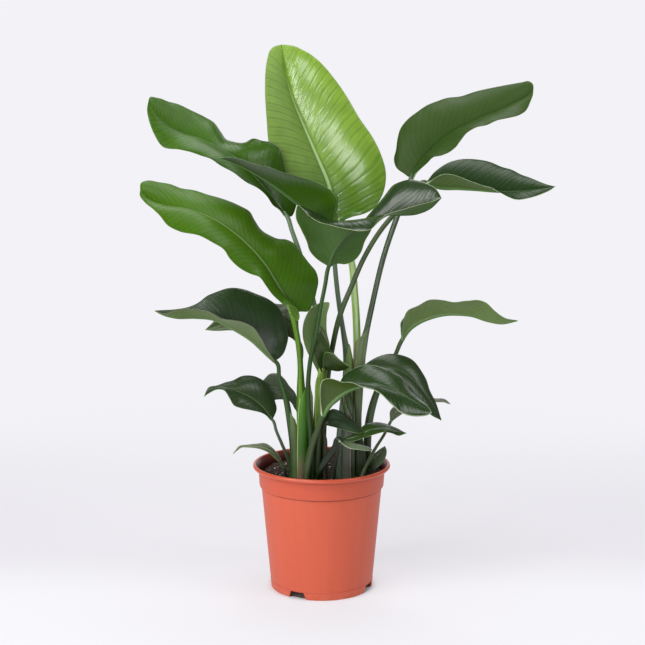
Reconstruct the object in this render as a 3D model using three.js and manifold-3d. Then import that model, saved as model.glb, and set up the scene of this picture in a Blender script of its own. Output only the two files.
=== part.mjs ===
// A bird of paradise in its nursery pot: a tapered terracotta-coloured plastic pot, its soil,
// and twenty-two leaves, each on a stalk of its own that stands in the soil.
// Millimetres, +Z up. The origin is the middle of the pot's underside, which is flat.

import * as THREE from 'three';
import { mergeVertices } from 'three/addons/utils/BufferGeometryUtils.js';
import Module from 'manifold-3d';

const wasm = await Module();
wasm.setup();

const plant = new THREE.Group();

// Gap kept between pieces that touch.
const GAP = 0.3;

// Materials.
const finish = (color, roughness) => new THREE.MeshStandardMaterial({ color, roughness, metalness: 0 });
const POT_PLASTIC = finish(0xd0684a, 0.55);
const POTTING_SOIL = finish(0x2a1d14, 0.95);
const STALK_SKIN = finish(0x4f7d38, 0.5);
const YOUNG_STALK = finish(0x7fb13f, 0.45);
const DARK_LEAF = finish(0x2f5527, 0.4);
const GREEN_LEAF = finish(0x4b8424, 0.4);
const PALE_LEAF = finish(0x82a848, 0.42);

// Pot.
const POT_HEIGHT = 222;
const RIM_RADIUS = 121;        // outside of the rolled rim
const RIM_INNER = 115;
const RIM_DEPTH = 8;           // height of the rolled rim
const COLLAR_RADIUS = 111.5;   // band below the rim, at its top
const COLLAR_LOW = 109.6;      // and at its foot
const COLLAR_FOOT = 182;       // height of the step at the band's foot
const BODY_TOP = 106.2;        // body just under the band
const BODY_FOOT = 90.4;        // body at the floor
const WALL = 2.2;
const FLOOR_THICK = 3;
const RECESS = 4;              // the underside is raised this much inside its ring
const RING_WIDTH = 9;
const PAD_RADIUS = 22;         // flat middle pad of the underside
const DRAIN_RADIUS = 5;
const DRAIN_CIRCLE = 56;
const DRAINS = 8;
const NOTCH_WIDTH = [34, 25];  // drainage notches in the foot, at the bottom and at the top
const NOTCH_HEIGHT = 11;
const NOTCH_ANGLES = [-118, -23, 66, 156];   // degrees from +X
const POT_SIDES = 56;

// Soil.
const SOIL_TOP = 206;
const SOIL_SIDES = 32;
const SOIL_RINGS = 7;
const STALK_SINK = 32;         // depth of a stalk's foot under the soil's surface

// Leaves and stalks are drawn as they are seen from one standing place. The first two numbers
// of a point are steps to the right and down, 1.76 mm each at the pot's axis, and the third is
// its depth in millimetres, larger further back.
const EYE = new THREE.Vector3(0, -2185, 781);
const AIM = new THREE.Vector3(0, 0, 471);
const FOCAL = 1270;
const MIDDLE = [321.6, 322.5];
const FORWARD = AIM.clone().sub(EYE).normalize();
const ACROSS = new THREE.Vector3(1, 0, 0);
const UPWARD = ACROSS.clone().cross(FORWARD);

function seen([u, v, depth]) {
  const ray = FORWARD.clone()
    .addScaledVector(ACROSS, (u - MIDDLE[0]) / FOCAL)
    .addScaledVector(UPWARD, (MIDDLE[1] - v) / FOCAL);
  return ray.multiplyScalar((depth - EYE.y) / ray.y).add(EYE).toArray();
}

// A leaf has its rib from stalk to tip, and the left and right margins as they lie when its
// upper face is looked at with the tip up, both without the two ends that they share with the
// rib. Its stalk runs from the soil to the leaf, with the half width in mm as a fourth number.
const LEAVES = {
  crown: {
    skin: PALE_LEAF, stem: YOUNG_STALK,
    rib: [
      [339, 221.5, 34], [334.2, 206, 38], [328, 183, 42], [316.5, 156, 48], [304, 127, 56],
      [291, 95, 68], [284, 68, 85], [281.5, 44.6, 105],
    ],
    left: [
      [327, 216, 22], [308, 208, 14], [290, 193, 10], [277, 172, 8], [269.5, 148, 10], [266.5, 118, 20],
      [265, 90, 38], [267.3, 59, 67], [269.9, 50.6, 80], [274.6, 46.4, 93],
    ],
    right: [
      [345.5, 219.5, 30], [353, 216.5, 27], [362, 214.5, 26], [373, 209, 24], [382, 196, 24],
      [386, 176, 26], [380.5, 153, 28], [372, 136, 32], [360, 119, 38], [349, 100, 44], [334, 78, 56],
      [318, 60, 70], [300.5, 48.6, 86], [290.5, 45.2, 98],
    ],
    stalk: [
      [352.5, 480, 8, 9.5], [352.5, 430, 9, 9], [355, 385, 8, 7.5], [357, 355, 10, 6.8],
      [356.5, 325, 14, 6.6], [354.5, 293, 18, 6.4], [351.5, 262, 24, 6], [344.5, 238, 30, 5],
    ],
  },
  upper_left: {
    skin: GREEN_LEAF,
    rib: [
      [285.5, 214.5, -15], [279, 206, -15], [268, 192.5, -12], [250, 172, -10], [236, 158, -8],
      [216, 146, -8], [197, 137.5, -10], [184, 133.5, -14], [172, 128, -20], [160, 118, -26],
      [148, 102, -32],
    ],
    left: [
      [279.5, 210, -20], [274, 206, -26], [267, 196, -34], [258, 188.5, -40], [247, 183, -44],
      [232, 172, -48], [220, 165, -50], [212, 160, -50], [200, 155, -50], [180, 150, -48],
      [163, 147, -44], [154, 134, -40], [149, 121, -36], [147, 109, -34],
    ],
    right: [
      [290.5, 216.5, -12], [296, 207, -10], [297, 199, -8], [292, 187, -6], [286, 174, -6],
      [283, 160, -6], [279.5, 148, -4], [271, 142, 2], [262, 140.5, 12], [253, 139, 22], [245, 142, 28],
      [235, 142, 32], [226, 139.7, 34], [221, 132, 34], [214.5, 122.5, 32], [205, 116.5, 28],
      [190, 109.5, 16], [171, 102, 0], [157, 98, -16], [150, 97, -26],
    ],
    stalk: [
      [320, 480, -15, 6], [321, 430, -12, 5], [322, 390, -8, 4.6], [320, 345, -6, 4.4],
      [315, 308, -8, 4.2], [307, 277, -10, 4.2], [297.5, 246.5, -12, 4.2], [291.3, 229, -14, 3.8],
    ],
  },
  left: {
    skin: GREEN_LEAF, stem: YOUNG_STALK,
    rib: [
      [292, 315, -92], [288, 304, -95], [277, 285, -102], [264, 264, -110], [251, 248.5, -118],
      [235, 234, -126], [219, 222.5, -134], [201, 213.5, -140], [185, 208.5, -146], [166, 205, -152],
      [151, 200, -158], [140, 190, -164],
    ],
    left: [
      [297.5, 321, -100], [299.5, 314, -108], [296, 307.5, -114], [289, 305, -118], [284, 305, -120],
      [279, 301, -122], [271.6, 294, -128], [265, 285, -134], [259, 277, -138], [251, 274, -142],
      [238, 267, -150], [229.5, 258, -156], [224, 250, -158], [213, 243, -162], [200, 236, -168],
      [178.5, 231, -174], [167, 225, -176], [161, 217, -176], [153, 209.5, -174], [144, 201.5, -170],
      [139.6, 195, -167],
    ],
    right: [
      [300, 311, -84], [308, 311.5, -78], [312.5, 305, -70], [316, 292, -62], [318, 280, -56],
      [316, 272, -52], [309, 263, -50], [301, 252, -50], [294.5, 243, -52], [287, 239.5, -56],
      [277, 239, -62], [268, 234, -68], [259, 227, -74], [254, 220, -76], [249.5, 211.5, -76],
      [241, 206, -80], [222, 198, -90], [206.5, 194, -100], [195, 191, -106], [178.5, 187, -116],
      [160, 182, -132], [147.5, 180.3, -146], [140.5, 183.5, -158],
    ],
    stalk: [
      [303, 480, -66, 10.5], [303, 440, -63, 10.2], [302, 402, -63, 9.4], [301, 387, -64, 7.2],
      [300.7, 372, -67, 5.4], [299, 348, -76, 5], [296, 330, -84, 4.8],
    ],
  },
  left_low: {
    skin: DARK_LEAF,
    rib: [
      [274.5, 361, -70], [268, 355.5, -74], [262, 350, -78], [252, 341, -84], [239, 332.5, -90],
      [226, 325.5, -96], [213, 319.8, -102], [195, 318, -108], [175, 318, -115], [163, 315, -120],
      [154.5, 310.6, -124],
    ],
    left: [
      [270.5, 355, -88], [266.5, 347.5, -106], [260, 337, -124], [252, 327, -138], [240, 322, -148],
      [222, 318.5, -154], [211, 313.5, -156], [203, 310.5, -156], [188, 309, -152], [176, 310.6, -146],
      [164, 313.8, -134],
    ],
    right: [
      [279, 358, -60], [284, 353, -54], [287, 345, -51], [288, 337, -50], [286, 328, -50],
      [283, 317, -50], [278, 307, -51], [269, 299.5, -54], [256, 293.5, -60], [244, 289, -66],
      [233, 288, -72], [221, 290, -78], [209, 295, -85], [199, 302.5, -92], [190, 306.3, -99],
      [175.5, 309, -110], [162, 310, -119],
    ],
    stalk: [
      [294, 480, -44, 8], [293.5, 446, -46, 7], [290.5, 425, -52, 6], [285.5, 397, -58, 5],
      [279.4, 377, -64, 3.6],
    ],
  },
  left_back: {
    skin: DARK_LEAF, small: true,
    rib: [
      [298, 341, -10], [290, 326, -13], [280, 315, -16], [262, 308, -20], [240, 312, -26],
      [222, 321, -31], [205, 330, -36],
    ],
    left: [
      [288, 336.5, -28], [276, 335, -38], [256, 335, -42], [240, 331, -43], [228, 330.5, -42],
      [215, 331, -39],
    ],
    right: [
      [299, 330, -2], [297, 315, 6], [289, 305.5, 12], [277, 304, 12], [262, 301, 8], [246, 301, -2],
      [228, 309, -16], [214, 321, -30],
    ],
    stalk: [
      [300, 480, -8, 5], [300, 440, -2, 4.6], [301, 400, 2, 4.2], [300, 368, -3, 4],
    ],
  },
  upper_right: {
    skin: DARK_LEAF,
    rib: [
      [411.5, 178, 29], [417, 168, 32], [424, 158.5, 36], [434, 148, 40], [449, 135, 46],
      [463, 126.5, 50], [478, 119, 52], [494, 112.5, 54], [512, 104, 54], [525, 97, 53],
      [533.5, 90, 52],
    ],
    left: [
      [404, 173.5, 36], [397, 168.5, 42], [393.7, 160, 50], [396, 149, 58], [397.5, 139, 65],
      [400.5, 129, 72], [408, 119.5, 80], [417, 112.5, 86], [430, 103.5, 92], [443, 99.3, 94],
      [460, 96, 94], [478, 91.3, 92], [495, 87.5, 86], [510, 84.3, 78], [521, 82, 70], [529, 81.2, 63],
      [533, 84.5, 57],
    ],
    right: [
      [416, 173.5, 18], [421, 168.5, 10], [428, 163, 4], [433, 158, 0], [441, 156, -2], [450, 152, -2],
      [456, 147, 0], [461, 140, 4], [466.5, 133, 6], [475, 128.5, 6], [486, 125, 8], [497, 121, 12],
      [508, 118, 16], [520, 114.5, 24], [525.5, 111, 30], [530.5, 102, 40], [533, 95, 47],
    ],
    stalk: [
      [360.5, 480, -18, 9.6], [356.8, 430, -17, 7.8], [357.9, 385, -15, 8.2], [360.1, 360, -13, 9],
      [363, 345, -10, 7.6], [366, 333, -5, 5.6], [371, 310, 2, 5], [385, 252, 14, 4.8],
      [397, 217, 20, 4.8], [406, 193, 25, 4.4],
    ],
  },
  right: {
    skin: DARK_LEAF,
    rib: [
      [426.5, 183, -50], [437, 187, -52], [460, 188.5, -56], [480, 190, -60], [495, 191.5, -62],
      [510, 191.8, -64], [525, 190.8, -66], [540, 188.8, -67], [555.6, 186.5, -68],
    ],
    left: [
      [434, 172.5, -38], [442, 165.8, -30], [451, 161.5, -24], [463, 159.3, -20], [478, 160, -20],
      [489, 162, -22], [506, 168, -30], [523.5, 175, -42], [537, 181, -54], [546.5, 184.5, -62],
    ],
    right: [
      [430.5, 181, -64], [436, 177, -76], [444, 174.5, -86], [453.5, 175.5, -92], [463, 178.5, -96],
      [472, 182, -98], [483, 185.5, -100], [492.5, 188, -100], [500, 192.5, -100], [507, 197, -98],
      [514, 199, -95], [524, 199.5, -90], [533, 197.3, -84], [543, 193.5, -78], [551, 189.8, -72],
    ],
    stalk: [
      [322, 480, -38, 6], [323, 440, -38, 5.4], [325, 405, -40, 5], [329, 368, -44, 4.6],
      [332.5, 347, -52, 4.6], [341, 312, -66, 4.6], [350.8, 288, -68, 4.4], [365, 256, -66, 4.2],
      [381, 230, -62, 4.2], [400, 208, -57, 4.2], [415, 193, -53, 4],
    ],
  },
  centre: {
    skin: DARK_LEAF,
    rib: [
      [329, 266, -100], [333, 255, -104], [340, 243, -110], [350, 233, -118], [361, 224.5, -125],
      [373, 217.5, -132], [387, 214.5, -138], [403, 215, -144], [416, 214, -150], [430, 208.5, -156],
      [441.5, 197.5, -162],
    ],
    left: [
      [336, 264, -98], [346, 264.2, -95], [355, 260, -92], [361, 252.5, -90], [365, 241.5, -90],
      [371, 231, -92], [375, 219, -94], [378, 210, -96], [383, 201, -98], [389, 190.5, -102],
      [396, 183.3, -108], [407.5, 179.7, -116], [420, 181.5, -126], [430, 185, -138],
      [437.5, 190.5, -150],
    ],
    right: [
      [318, 260, -108], [309.5, 251, -113], [306.5, 241, -118], [301, 229, -121], [296, 218, -122],
      [297.5, 205.5, -124], [309, 216, -128], [318, 221.5, -134], [331, 225, -144], [345, 229, -154],
      [361, 231, -164], [372, 228.3, -171], [380, 219.5, -177], [390, 213.3, -181], [403, 209, -184],
      [420, 204, -181], [434, 200.5, -173],
    ],
    stalk: [
      [312, 480, -74, 5], [311, 440, -76, 4.6], [308, 400, -82, 4.2], [308.5, 377, -91, 3.9],
      [311, 356, -97, 3.7], [316, 334, -101, 3.5], [320.5, 308, -103, 3.4], [325.3, 284, -102, 3.4],
    ],
  },
  inner: {
    skin: DARK_LEAF,
    rib: [
      [333, 223, -70], [316, 215.5, -74], [297, 203, -78], [270, 183, -84], [243, 167, -90],
      [220, 157.5, -96],
    ],
    left: [
      [335.5, 207, -95], [337, 200, -112], [330, 190.3, -122], [320, 184.5, -128], [310, 180.3, -132],
      [295, 175.7, -134], [284, 172.3, -134], [265, 166.5, -130], [248, 162, -120], [233, 157.5, -108],
    ],
    right: [
      [338, 206, -50], [337, 196, -42], [328, 188.5, -38], [312, 182, -36], [296, 178.5, -38],
      [276, 172.5, -46], [256, 165.5, -58], [238, 160, -76],
    ],
    stalk: [
      [342, 480, -12, 11], [343.5, 430, -12, 10], [346.5, 385, -14, 8], [347.5, 362, -15, 7.6],
      [346.5, 350, -16, 6.6], [344, 335, -20, 5], [339, 303, -32, 4.4], [335, 266, -50, 4.2],
      [333.5, 240, -62, 4],
    ],
  },
  young: {
    skin: PALE_LEAF, stem: YOUNG_STALK, small: true,
    rib: [
      [321, 371, -52], [319, 350, -44], [318, 330, -40], [318.5, 314, -38], [319.5, 303, -36],
    ],
    left: [
      [312, 361, -60], [306.5, 350, -66], [302.5, 335, -66], [303.5, 322, -60], [306.5, 314.5, -52],
      [312, 307, -44],
    ],
    right: [
      [326, 361, -60], [330, 348, -66], [327, 331, -68], [327, 315, -62], [329, 302.5, -50],
    ],
    stalk: [
      [312.5, 480, -48, 7.5], [314.5, 445, -49, 7.6], [317.4, 420, -51, 7.4], [319.2, 398, -53, 8],
      [320.7, 381, -54, 8.4], [321, 375, -54, 6],
    ],
  },
  young_front: {
    skin: GREEN_LEAF, small: true,
    rib: [
      [323, 371, -74], [323, 360, -78], [325.5, 352, -84], [331, 353, -90], [339, 360, -94],
      [350, 367, -97],
    ],
    left: [
      [317, 362, -82], [312.5, 346, -84], [314.5, 331, -84], [320, 325, -86], [326, 336, -92],
      [330, 348, -98], [335, 356.5, -102], [342, 362, -102],
    ],
    right: [
      [327, 370, -68], [333, 371, -70], [341, 370.5, -80],
    ],
    stalk: [
      [317, 480, -66, 4.4], [318, 440, -68, 4.2], [320.5, 405, -72, 4],
    ],
  },
  low_right: {
    skin: DARK_LEAF,
    rib: [
      [323, 416, -93], [329.5, 406, -95], [338, 398.5, -99], [348, 391.2, -102.5], [360, 386.5, -106],
      [372, 384, -110], [385, 386.5, -116], [398, 392, -122], [412, 400, -128], [424, 408, -134],
      [432, 413, -138],
    ],
    left: [
      [336.5, 397, -89], [339.5, 384, -82], [345, 374.5, -76], [354, 369, -73], [365, 365.5, -71],
      [380, 367, -72], [392, 371, -76], [400, 376.5, -82], [406, 384, -88], [412, 392, -96],
      [420, 400, -108], [428, 407, -126],
    ],
    right: [
      [320.6, 407, -99], [319.8, 397, -106], [320.3, 388, -114], [322.6, 380.8, -121],
      [331, 378.8, -131], [341, 382, -140], [352, 382.7, -148], [362, 386.5, -154], [375, 391, -158],
      [385, 398, -160], [393, 406, -160], [400, 412.5, -158], [410, 416, -155], [420, 416.5, -149],
      [428, 415.2, -142],
    ],
    stalk: [
      [306, 481, -86, 6.4], [309, 460, -86, 6], [313, 442, -87, 5.4], [317.8, 429, -89, 4.8],
    ],
  },
  low_right_back: {
    skin: DARK_LEAF,
    rib: [
      [352, 384, -34], [362, 374, -34], [376, 368, -34], [392, 368, -36], [407, 375, -40],
      [420, 388, -46], [432, 405, -52], [441.5, 420.5, -58],
    ],
    left: [
      [357, 372, -34], [366, 363.5, -31], [376, 357.5, -22], [388, 354.2, -13], [400, 355.2, -8],
      [412, 360, -12], [420, 368, -18], [428, 385, -28], [435.5, 403, -42],
    ],
    right: [
      [364, 386, -46], [380, 387, -54], [396, 391, -60], [410, 398, -64], [422, 408, -66],
      [432, 415.7, -64],
    ],
    stalk: [
      [350, 480, -48, 8.6], [350, 440, -46, 8], [351, 410, -42, 6],
    ],
  },
  far_right: {
    skin: DARK_LEAF,
    rib: [
      [402, 340, 0], [405, 335, -3], [410, 329, -7], [420, 322.2, -13], [432, 317.5, -19],
      [445, 314.7, -25], [458, 314.5, -30], [472, 316, -35], [487, 321, -40], [502, 323.7, -44],
      [518, 320.6, -46],
    ],
    left: [
      [401, 330, 14], [400.5, 322, 22], [405, 316, 26], [413, 313, 24], [423, 308, 20], [435, 304, 14],
      [448, 305, 6], [460, 306, -2], [472, 305, -10], [482, 307, -18], [492, 313, -28],
      [504, 319.5, -38],
    ],
    right: [
      [402.5, 330, -12], [403.5, 321, -22], [408, 311, -32], [418, 306, -42], [429, 300, -50],
      [443, 299.8, -56], [455, 302, -60], [468, 301, -62], [477, 299.5, -62], [485, 302.5, -60],
      [494, 310, -56], [505, 317.5, -51],
    ],
    stalk: [
      [369, 480, 26, 7], [367, 450, 24, 7.4], [369, 420, 20, 7.6], [376, 394, 16, 6.4],
      [386, 372, 12, 4.8], [395.5, 354, 6, 4],
    ],
  },
  low_edge: {
    skin: DARK_LEAF, small: true,
    rib: [
      [391, 421, -10], [396, 412, -12], [408, 404, -16], [422, 400.5, -20], [438, 400.3, -24],
      [450.5, 404, -28],
    ],
    left: [
      [390.5, 411, 0], [394, 406, 6], [406, 400, 8], [420, 398, 2], [436, 399, -12], [446, 399.6, -22],
    ],
    right: [
      [399, 416, -24], [410, 410, -34], [424, 405, -38], [438, 402, -36], [446, 402.2, -32],
    ],
    stalk: [
      [361, 480, -44, 4], [368, 462, -38, 3.2], [375, 449, -28, 2.8], [385, 433, -16, 2.6],
    ],
  },
  low_mid: {
    skin: DARK_LEAF, small: true,
    rib: [
      [342, 440.5, -82], [352, 438, -86], [362, 434, -90], [374, 429, -95], [386, 428, -100],
      [397, 431, -104], [406.5, 433.3, -108],
    ],
    left: [
      [352, 434.5, -76], [360, 430, -70], [364, 425, -68], [373, 422.5, -70], [384, 423.5, -76],
      [393, 427, -86], [400, 430, -96],
    ],
    right: [
      [352, 441.5, -96], [362, 438.8, -106], [374, 435, -114], [385, 432.3, -118], [392, 433.3, -118],
      [399, 435.5, -114],
    ],
    stalk: [
      [333, 480, -74, 4.4], [335, 462, -76, 3.8], [338, 450, -79, 3.4],
    ],
  },
  low_dark: {
    skin: DARK_LEAF, small: true,
    rib: [
      [326.5, 424, -64], [332.5, 419.5, -68], [341, 419.5, -74], [349.5, 423.5, -80],
      [357.5, 428.5, -86], [364, 432.5, -92],
    ],
    left: [
      [326.8, 413.5, -56], [332.5, 409, -54], [340, 410.5, -56], [347, 415.5, -62], [354, 421.5, -70],
      [360.5, 427.5, -82],
    ],
    right: [
      [333, 427, -74], [341, 429.3, -82], [350, 431.8, -90], [358, 433.6, -96],
    ],
    stalk: [
      [325, 480, -64, 4], [325, 460, -63, 3.6], [325.5, 442, -63, 3.2],
    ],
  },
  front_small: {
    skin: DARK_LEAF, small: true,
    rib: [
      [339.5, 440, -122], [348, 445, -126], [358, 447.5, -130], [366, 448.5, -132], [373, 450.5, -132],
    ],
    left: [
      [347, 441.5, -116], [358, 443.8, -113], [367, 446.3, -121],
    ],
    right: [
      [347, 447, -135], [358, 450, -139], [366, 451, -138],
    ],
    stalk: [
      [316, 482, -92, 3.2], [321, 469, -103, 5], [328.5, 456, -112, 6.4], [335, 446.5, -119, 5],
    ],
  },
  pot_right: {
    skin: DARK_LEAF, small: true,
    rib: [
      [368.5, 470.5, 2], [373.5, 463, 2], [379.5, 455, 4], [385, 446, 6],
    ],
    left: [
      [367, 463, 2], [372.5, 455, 6], [379, 449.5, 8],
    ],
    right: [
      [376, 468, -12], [383, 462, -12], [386.5, 455, -6], [386.5, 449.5, 2],
    ],
    stalk: [
      [366, 480, 4, 3.4],
    ],
  },
  droop_left: {
    skin: DARK_LEAF, small: true,
    rib: [
      [284, 468, -50], [278, 458, -54], [270, 450, -58], [262, 446.8, -62], [252, 446.2, -66],
      [241, 447.3, -70], [233, 453.7, -74],
    ],
    left: [
      [276, 459, -64], [268, 452.3, -71], [260, 449.3, -76], [250, 448, -78], [240, 448.5, -77],
    ],
    right: [
      [279.5, 456, -43], [272, 447.8, -44], [265, 443.7, -48], [256, 444, -54], [246, 445, -61],
      [239, 446, -68],
    ],
    stalk: [
      [288, 482, -32, 3.4], [285.2, 474, -38, 2.8],
    ],
  },
  low_left: {
    skin: DARK_LEAF, small: true,
    rib: [
      [272, 419.5, -60], [261, 406, -66], [249.5, 397, -72], [235, 390.5, -78], [223, 387, -82],
      [212, 389, -84], [204, 396.5, -84],
    ],
    left: [
      [262, 413, -76], [249.5, 410, -86], [240, 408, -93], [234, 405.6, -97], [229, 398, -100],
      [224, 390.8, -98], [216, 389.5, -92], [210, 393, -88],
    ],
    right: [
      [277, 408, -48], [275, 400, -44], [270.5, 389, -42], [262, 380, -44], [253, 376, -48],
      [242, 376, -54], [233, 380, -61], [225, 382, -68], [216, 386, -76], [208, 388, -82],
    ],
    stalk: [
      [292.5, 481, -22, 4], [288, 459, -38, 3], [281, 442, -50, 2.8], [276, 430, -56, 2.6],
    ],
  },
  low_left_back: {
    skin: DARK_LEAF, small: true,
    rib: [
      [296, 408, -16], [288, 395, -18], [276, 387, -22], [262, 388, -27], [250, 396, -32],
    ],
    left: [
      [289, 401, -22], [280, 399.5, -30], [268, 401, -36], [258, 401, -36],
    ],
    right: [
      [297.5, 401, -10], [295.5, 392.5, -6], [289, 385.5, -4], [284, 379, -4], [277, 373.7, -6],
      [270, 374, -10], [264, 379.5, -16], [256, 387, -26],
    ],
    stalk: [
      [297, 480, -30, 3.4], [298.5, 450, -26, 3], [299, 425, -20, 2.8],
    ],
  },
};

// Curves and solids.

// A smooth curve through rows of numbers: cubic pieces over the chord length of the first three
// numbers, each row's slope the weighted mean of its two chords. f runs from 0 to 1.
function smooth(rows) {
  const chord = rows.slice(1).map((row, i) =>
    Math.hypot(row[0] - rows[i][0], row[1] - rows[i][1], row[2] - rows[i][2]));
  const at = [0];
  chord.forEach((length) => at.push(at[at.length - 1] + length));
  const rise = chord.map((length, i) => rows[i + 1].map((value, k) => (value - rows[i][k]) / length));
  const slope = rows.map((row, i) => row.map((_, k) => {
    if (i === 0) return rise[0][k];
    if (i === chord.length) return rise[i - 1][k];
    return (rise[i][k] * chord[i - 1] + rise[i - 1][k] * chord[i]) / (chord[i] + chord[i - 1]);
  }));
  return (f) => {
    const x = f * at[at.length - 1];
    let i = 0;
    while (i < chord.length - 1 && at[i + 1] <= x) i += 1;
    const t = (x - at[i]) / chord[i];
    return rows[i].map((_, k) => (2 * t ** 3 - 3 * t ** 2 + 1) * rows[i][k]
      + (t ** 3 - 2 * t ** 2 + t) * chord[i] * slope[i][k]
      + (3 * t ** 2 - 2 * t ** 3) * rows[i + 1][k]
      + (t ** 3 - t ** 2) * chord[i] * slope[i + 1][k]);
  };
}

const vector = (row) => new THREE.Vector3(row[0], row[1], row[2]);

function closedGeometry(points, faces) {
  const geometry = new THREE.BufferGeometry();
  geometry.setAttribute('position', new THREE.Float32BufferAttribute(points.flatMap((p) => p.toArray()), 3));
  let volume = 0;
  faces.forEach(([a, b, c]) => {
    volume += points[a].dot(points[b].clone().cross(points[c]));
  });
  const turned = volume < 0 ? faces.map(([a, b, c]) => [a, c, b]) : faces;
  geometry.setIndex(turned.flat());
  return geometry;
}

function toManifold(geometry) {
  const bare = geometry.clone();
  bare.deleteAttribute('normal');
  bare.deleteAttribute('uv');
  const merged = mergeVertices(bare, 1e-4);
  return new wasm.Manifold(new wasm.Mesh({
    numProp: 3,
    vertProperties: new Float32Array(merged.attributes.position.array),
    triVerts: new Uint32Array(merged.index.array),
  }));
}

function fromManifold(solid) {
  const mesh = solid.getMesh();
  const geometry = new THREE.BufferGeometry();
  geometry.setAttribute('position', new THREE.Float32BufferAttribute(mesh.vertProperties, 3));
  geometry.setIndex(Array.from(mesh.triVerts));
  return geometry;
}

function addPiece(name, geometry, material) {
  const mesh = new THREE.Mesh(geometry, material);
  mesh.name = name;
  plant.add(mesh);
}

// Leaf blade. Each half is ruled from the rib to its margin along the side veins, which lean
// towards the tip, and bows a little between them. The sheet gets a thin blade's thickness,
// a keel along the rib on its underside, and closed edges.
const BLADE_THICK = 0.9;
const TIP_END = 0.985;
const KEEL_BAND = 0.07;        // share of the half width that the keel takes

function neckRadius(plan) {
  return Math.max(plan.stalk[plan.stalk.length - 1][3], 2.5);
}

function leafCurves(plan) {
  const rib = plan.rib.map(seen);
  const left = plan.left.map(seen);
  const right = plan.right.map(seen);
  const ribCurve = smooth(rib);
  const along = vector(ribCurve(0.01)).sub(vector(ribCurve(0))).normalize();
  const side = vector(right[0]).add(vector(right[1]))
    .sub(vector(left[0])).sub(vector(left[1]));
  side.addScaledVector(along, -side.dot(along)).normalize();
  const start = vector(rib[0]);
  const neck = neckRadius(plan);
  left.unshift(start.clone().addScaledVector(side, -neck).toArray());
  right.unshift(start.clone().addScaledVector(side, neck).toArray());
  left.push(rib[rib.length - 1]);
  right.push(rib[rib.length - 1]);
  return { rib: ribCurve, left: smooth(left), right: smooth(right), along, start, neck };
}

function bladeGeometry(plan) {
  const curves = leafCurves(plan);
  const rows = plan.rows ?? (plan.small ? 9 : 16);
  const outer = plan.small ? [1, 0.5] : [1, 0.56];
  const shares = [...outer.map((x) => -x), -KEEL_BAND, 0, KEEL_BAND, ...outer.slice().reverse()];
  const [leanLeft, leanRight] = plan.lean ?? [0.25, 0.25];
  const bow = plan.bow ?? 0.1;
  const sheet = [];
  for (let i = 0; i <= rows; i += 1) {
    const s = (i / rows) * TIP_END;
    const middle = vector(curves.rib(s));
    const edges = [curves.left(s + leanLeft * s * (1 - s)), curves.right(s + leanRight * s * (1 - s))]
      .map((row) => vector(row).sub(middle));
    const across = edges[1].clone().sub(edges[0]);
    const along = vector(curves.rib(Math.min(s + 0.01, 1))).sub(vector(curves.rib(s + 0.01 > 1 ? s - 0.01 : s)));
    const up = across.clone().cross(along).normalize();
    sheet.push(shares.map((share) => {
      const edge = edges[share < 0 ? 0 : 1];
      const t = Math.abs(share);
      return middle.clone().addScaledVector(edge, t)
        .addScaledVector(up, bow * edge.length() * 4 * t * (1 - t) * Math.min(1, s * 6));
    }));
  }
  const columns = shares.length;
  const points = [];
  for (let i = 0; i <= rows; i += 1) {
    const s = (i / rows) * TIP_END;
    for (let j = 0; j < columns; j += 1) {
      const down = sheet[Math.max(i - 1, 0)][j];
      const ahead = sheet[Math.min(i + 1, rows)][j];
      const before = sheet[i][Math.max(j - 1, 0)];
      const after = sheet[i][Math.min(j + 1, columns - 1)];
      const normal = after.clone().sub(before).cross(ahead.clone().sub(down)).normalize();
      if (i === 0) {
        normal.addScaledVector(curves.along, -normal.dot(curves.along)).normalize();
      }
      const keel = curves.neck * (1 - 0.75 * s) * Math.max(0, 1 - Math.abs(shares[j]) / (1.6 * KEEL_BAND));
      const neckBody = 0.7 * curves.neck * Math.max(0, 1 - s * 14) * (1 - Math.abs(shares[j]) * 0.6);
      points.push(sheet[i][j].clone().addScaledVector(normal, BLADE_THICK / 2 + neckBody));
      points.push(sheet[i][j].clone().addScaledVector(normal, -BLADE_THICK / 2 - Math.max(keel, neckBody)));
    }
  }
  const top = (i, j) => 2 * (i * columns + j);
  const bottom = (i, j) => top(i, j) + 1;
  const faces = [];
  for (let i = 0; i < rows; i += 1) {
    for (let j = 0; j < columns - 1; j += 1) {
      faces.push([top(i, j), top(i, j + 1), top(i + 1, j + 1)]);
      faces.push([top(i, j), top(i + 1, j + 1), top(i + 1, j)]);
      faces.push([bottom(i, j), bottom(i + 1, j + 1), bottom(i, j + 1)]);
      faces.push([bottom(i, j), bottom(i + 1, j), bottom(i + 1, j + 1)]);
    }
    const last = columns - 1;
    faces.push([top(i, 0), top(i + 1, 0), bottom(i + 1, 0)], [top(i, 0), bottom(i + 1, 0), bottom(i, 0)]);
    faces.push([top(i, last), bottom(i + 1, last), top(i + 1, last)]);
    faces.push([top(i, last), bottom(i, last), bottom(i + 1, last)]);
  }
  for (let j = 0; j < columns - 1; j += 1) {
    faces.push([top(0, j), bottom(0, j), bottom(0, j + 1)], [top(0, j), bottom(0, j + 1), top(0, j + 1)]);
    faces.push([top(rows, j), bottom(rows, j + 1), bottom(rows, j)]);
    faces.push([top(rows, j), top(rows, j + 1), bottom(rows, j + 1)]);
  }
  return closedGeometry(points, faces);
}

// Stalk: an oval tube, flattened front to back, from its foot in the soil to the leaf's neck.
// Where it stands in the soil it leaves a hole a little wider than itself.
const STALK_OVAL = 0.82;

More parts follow.
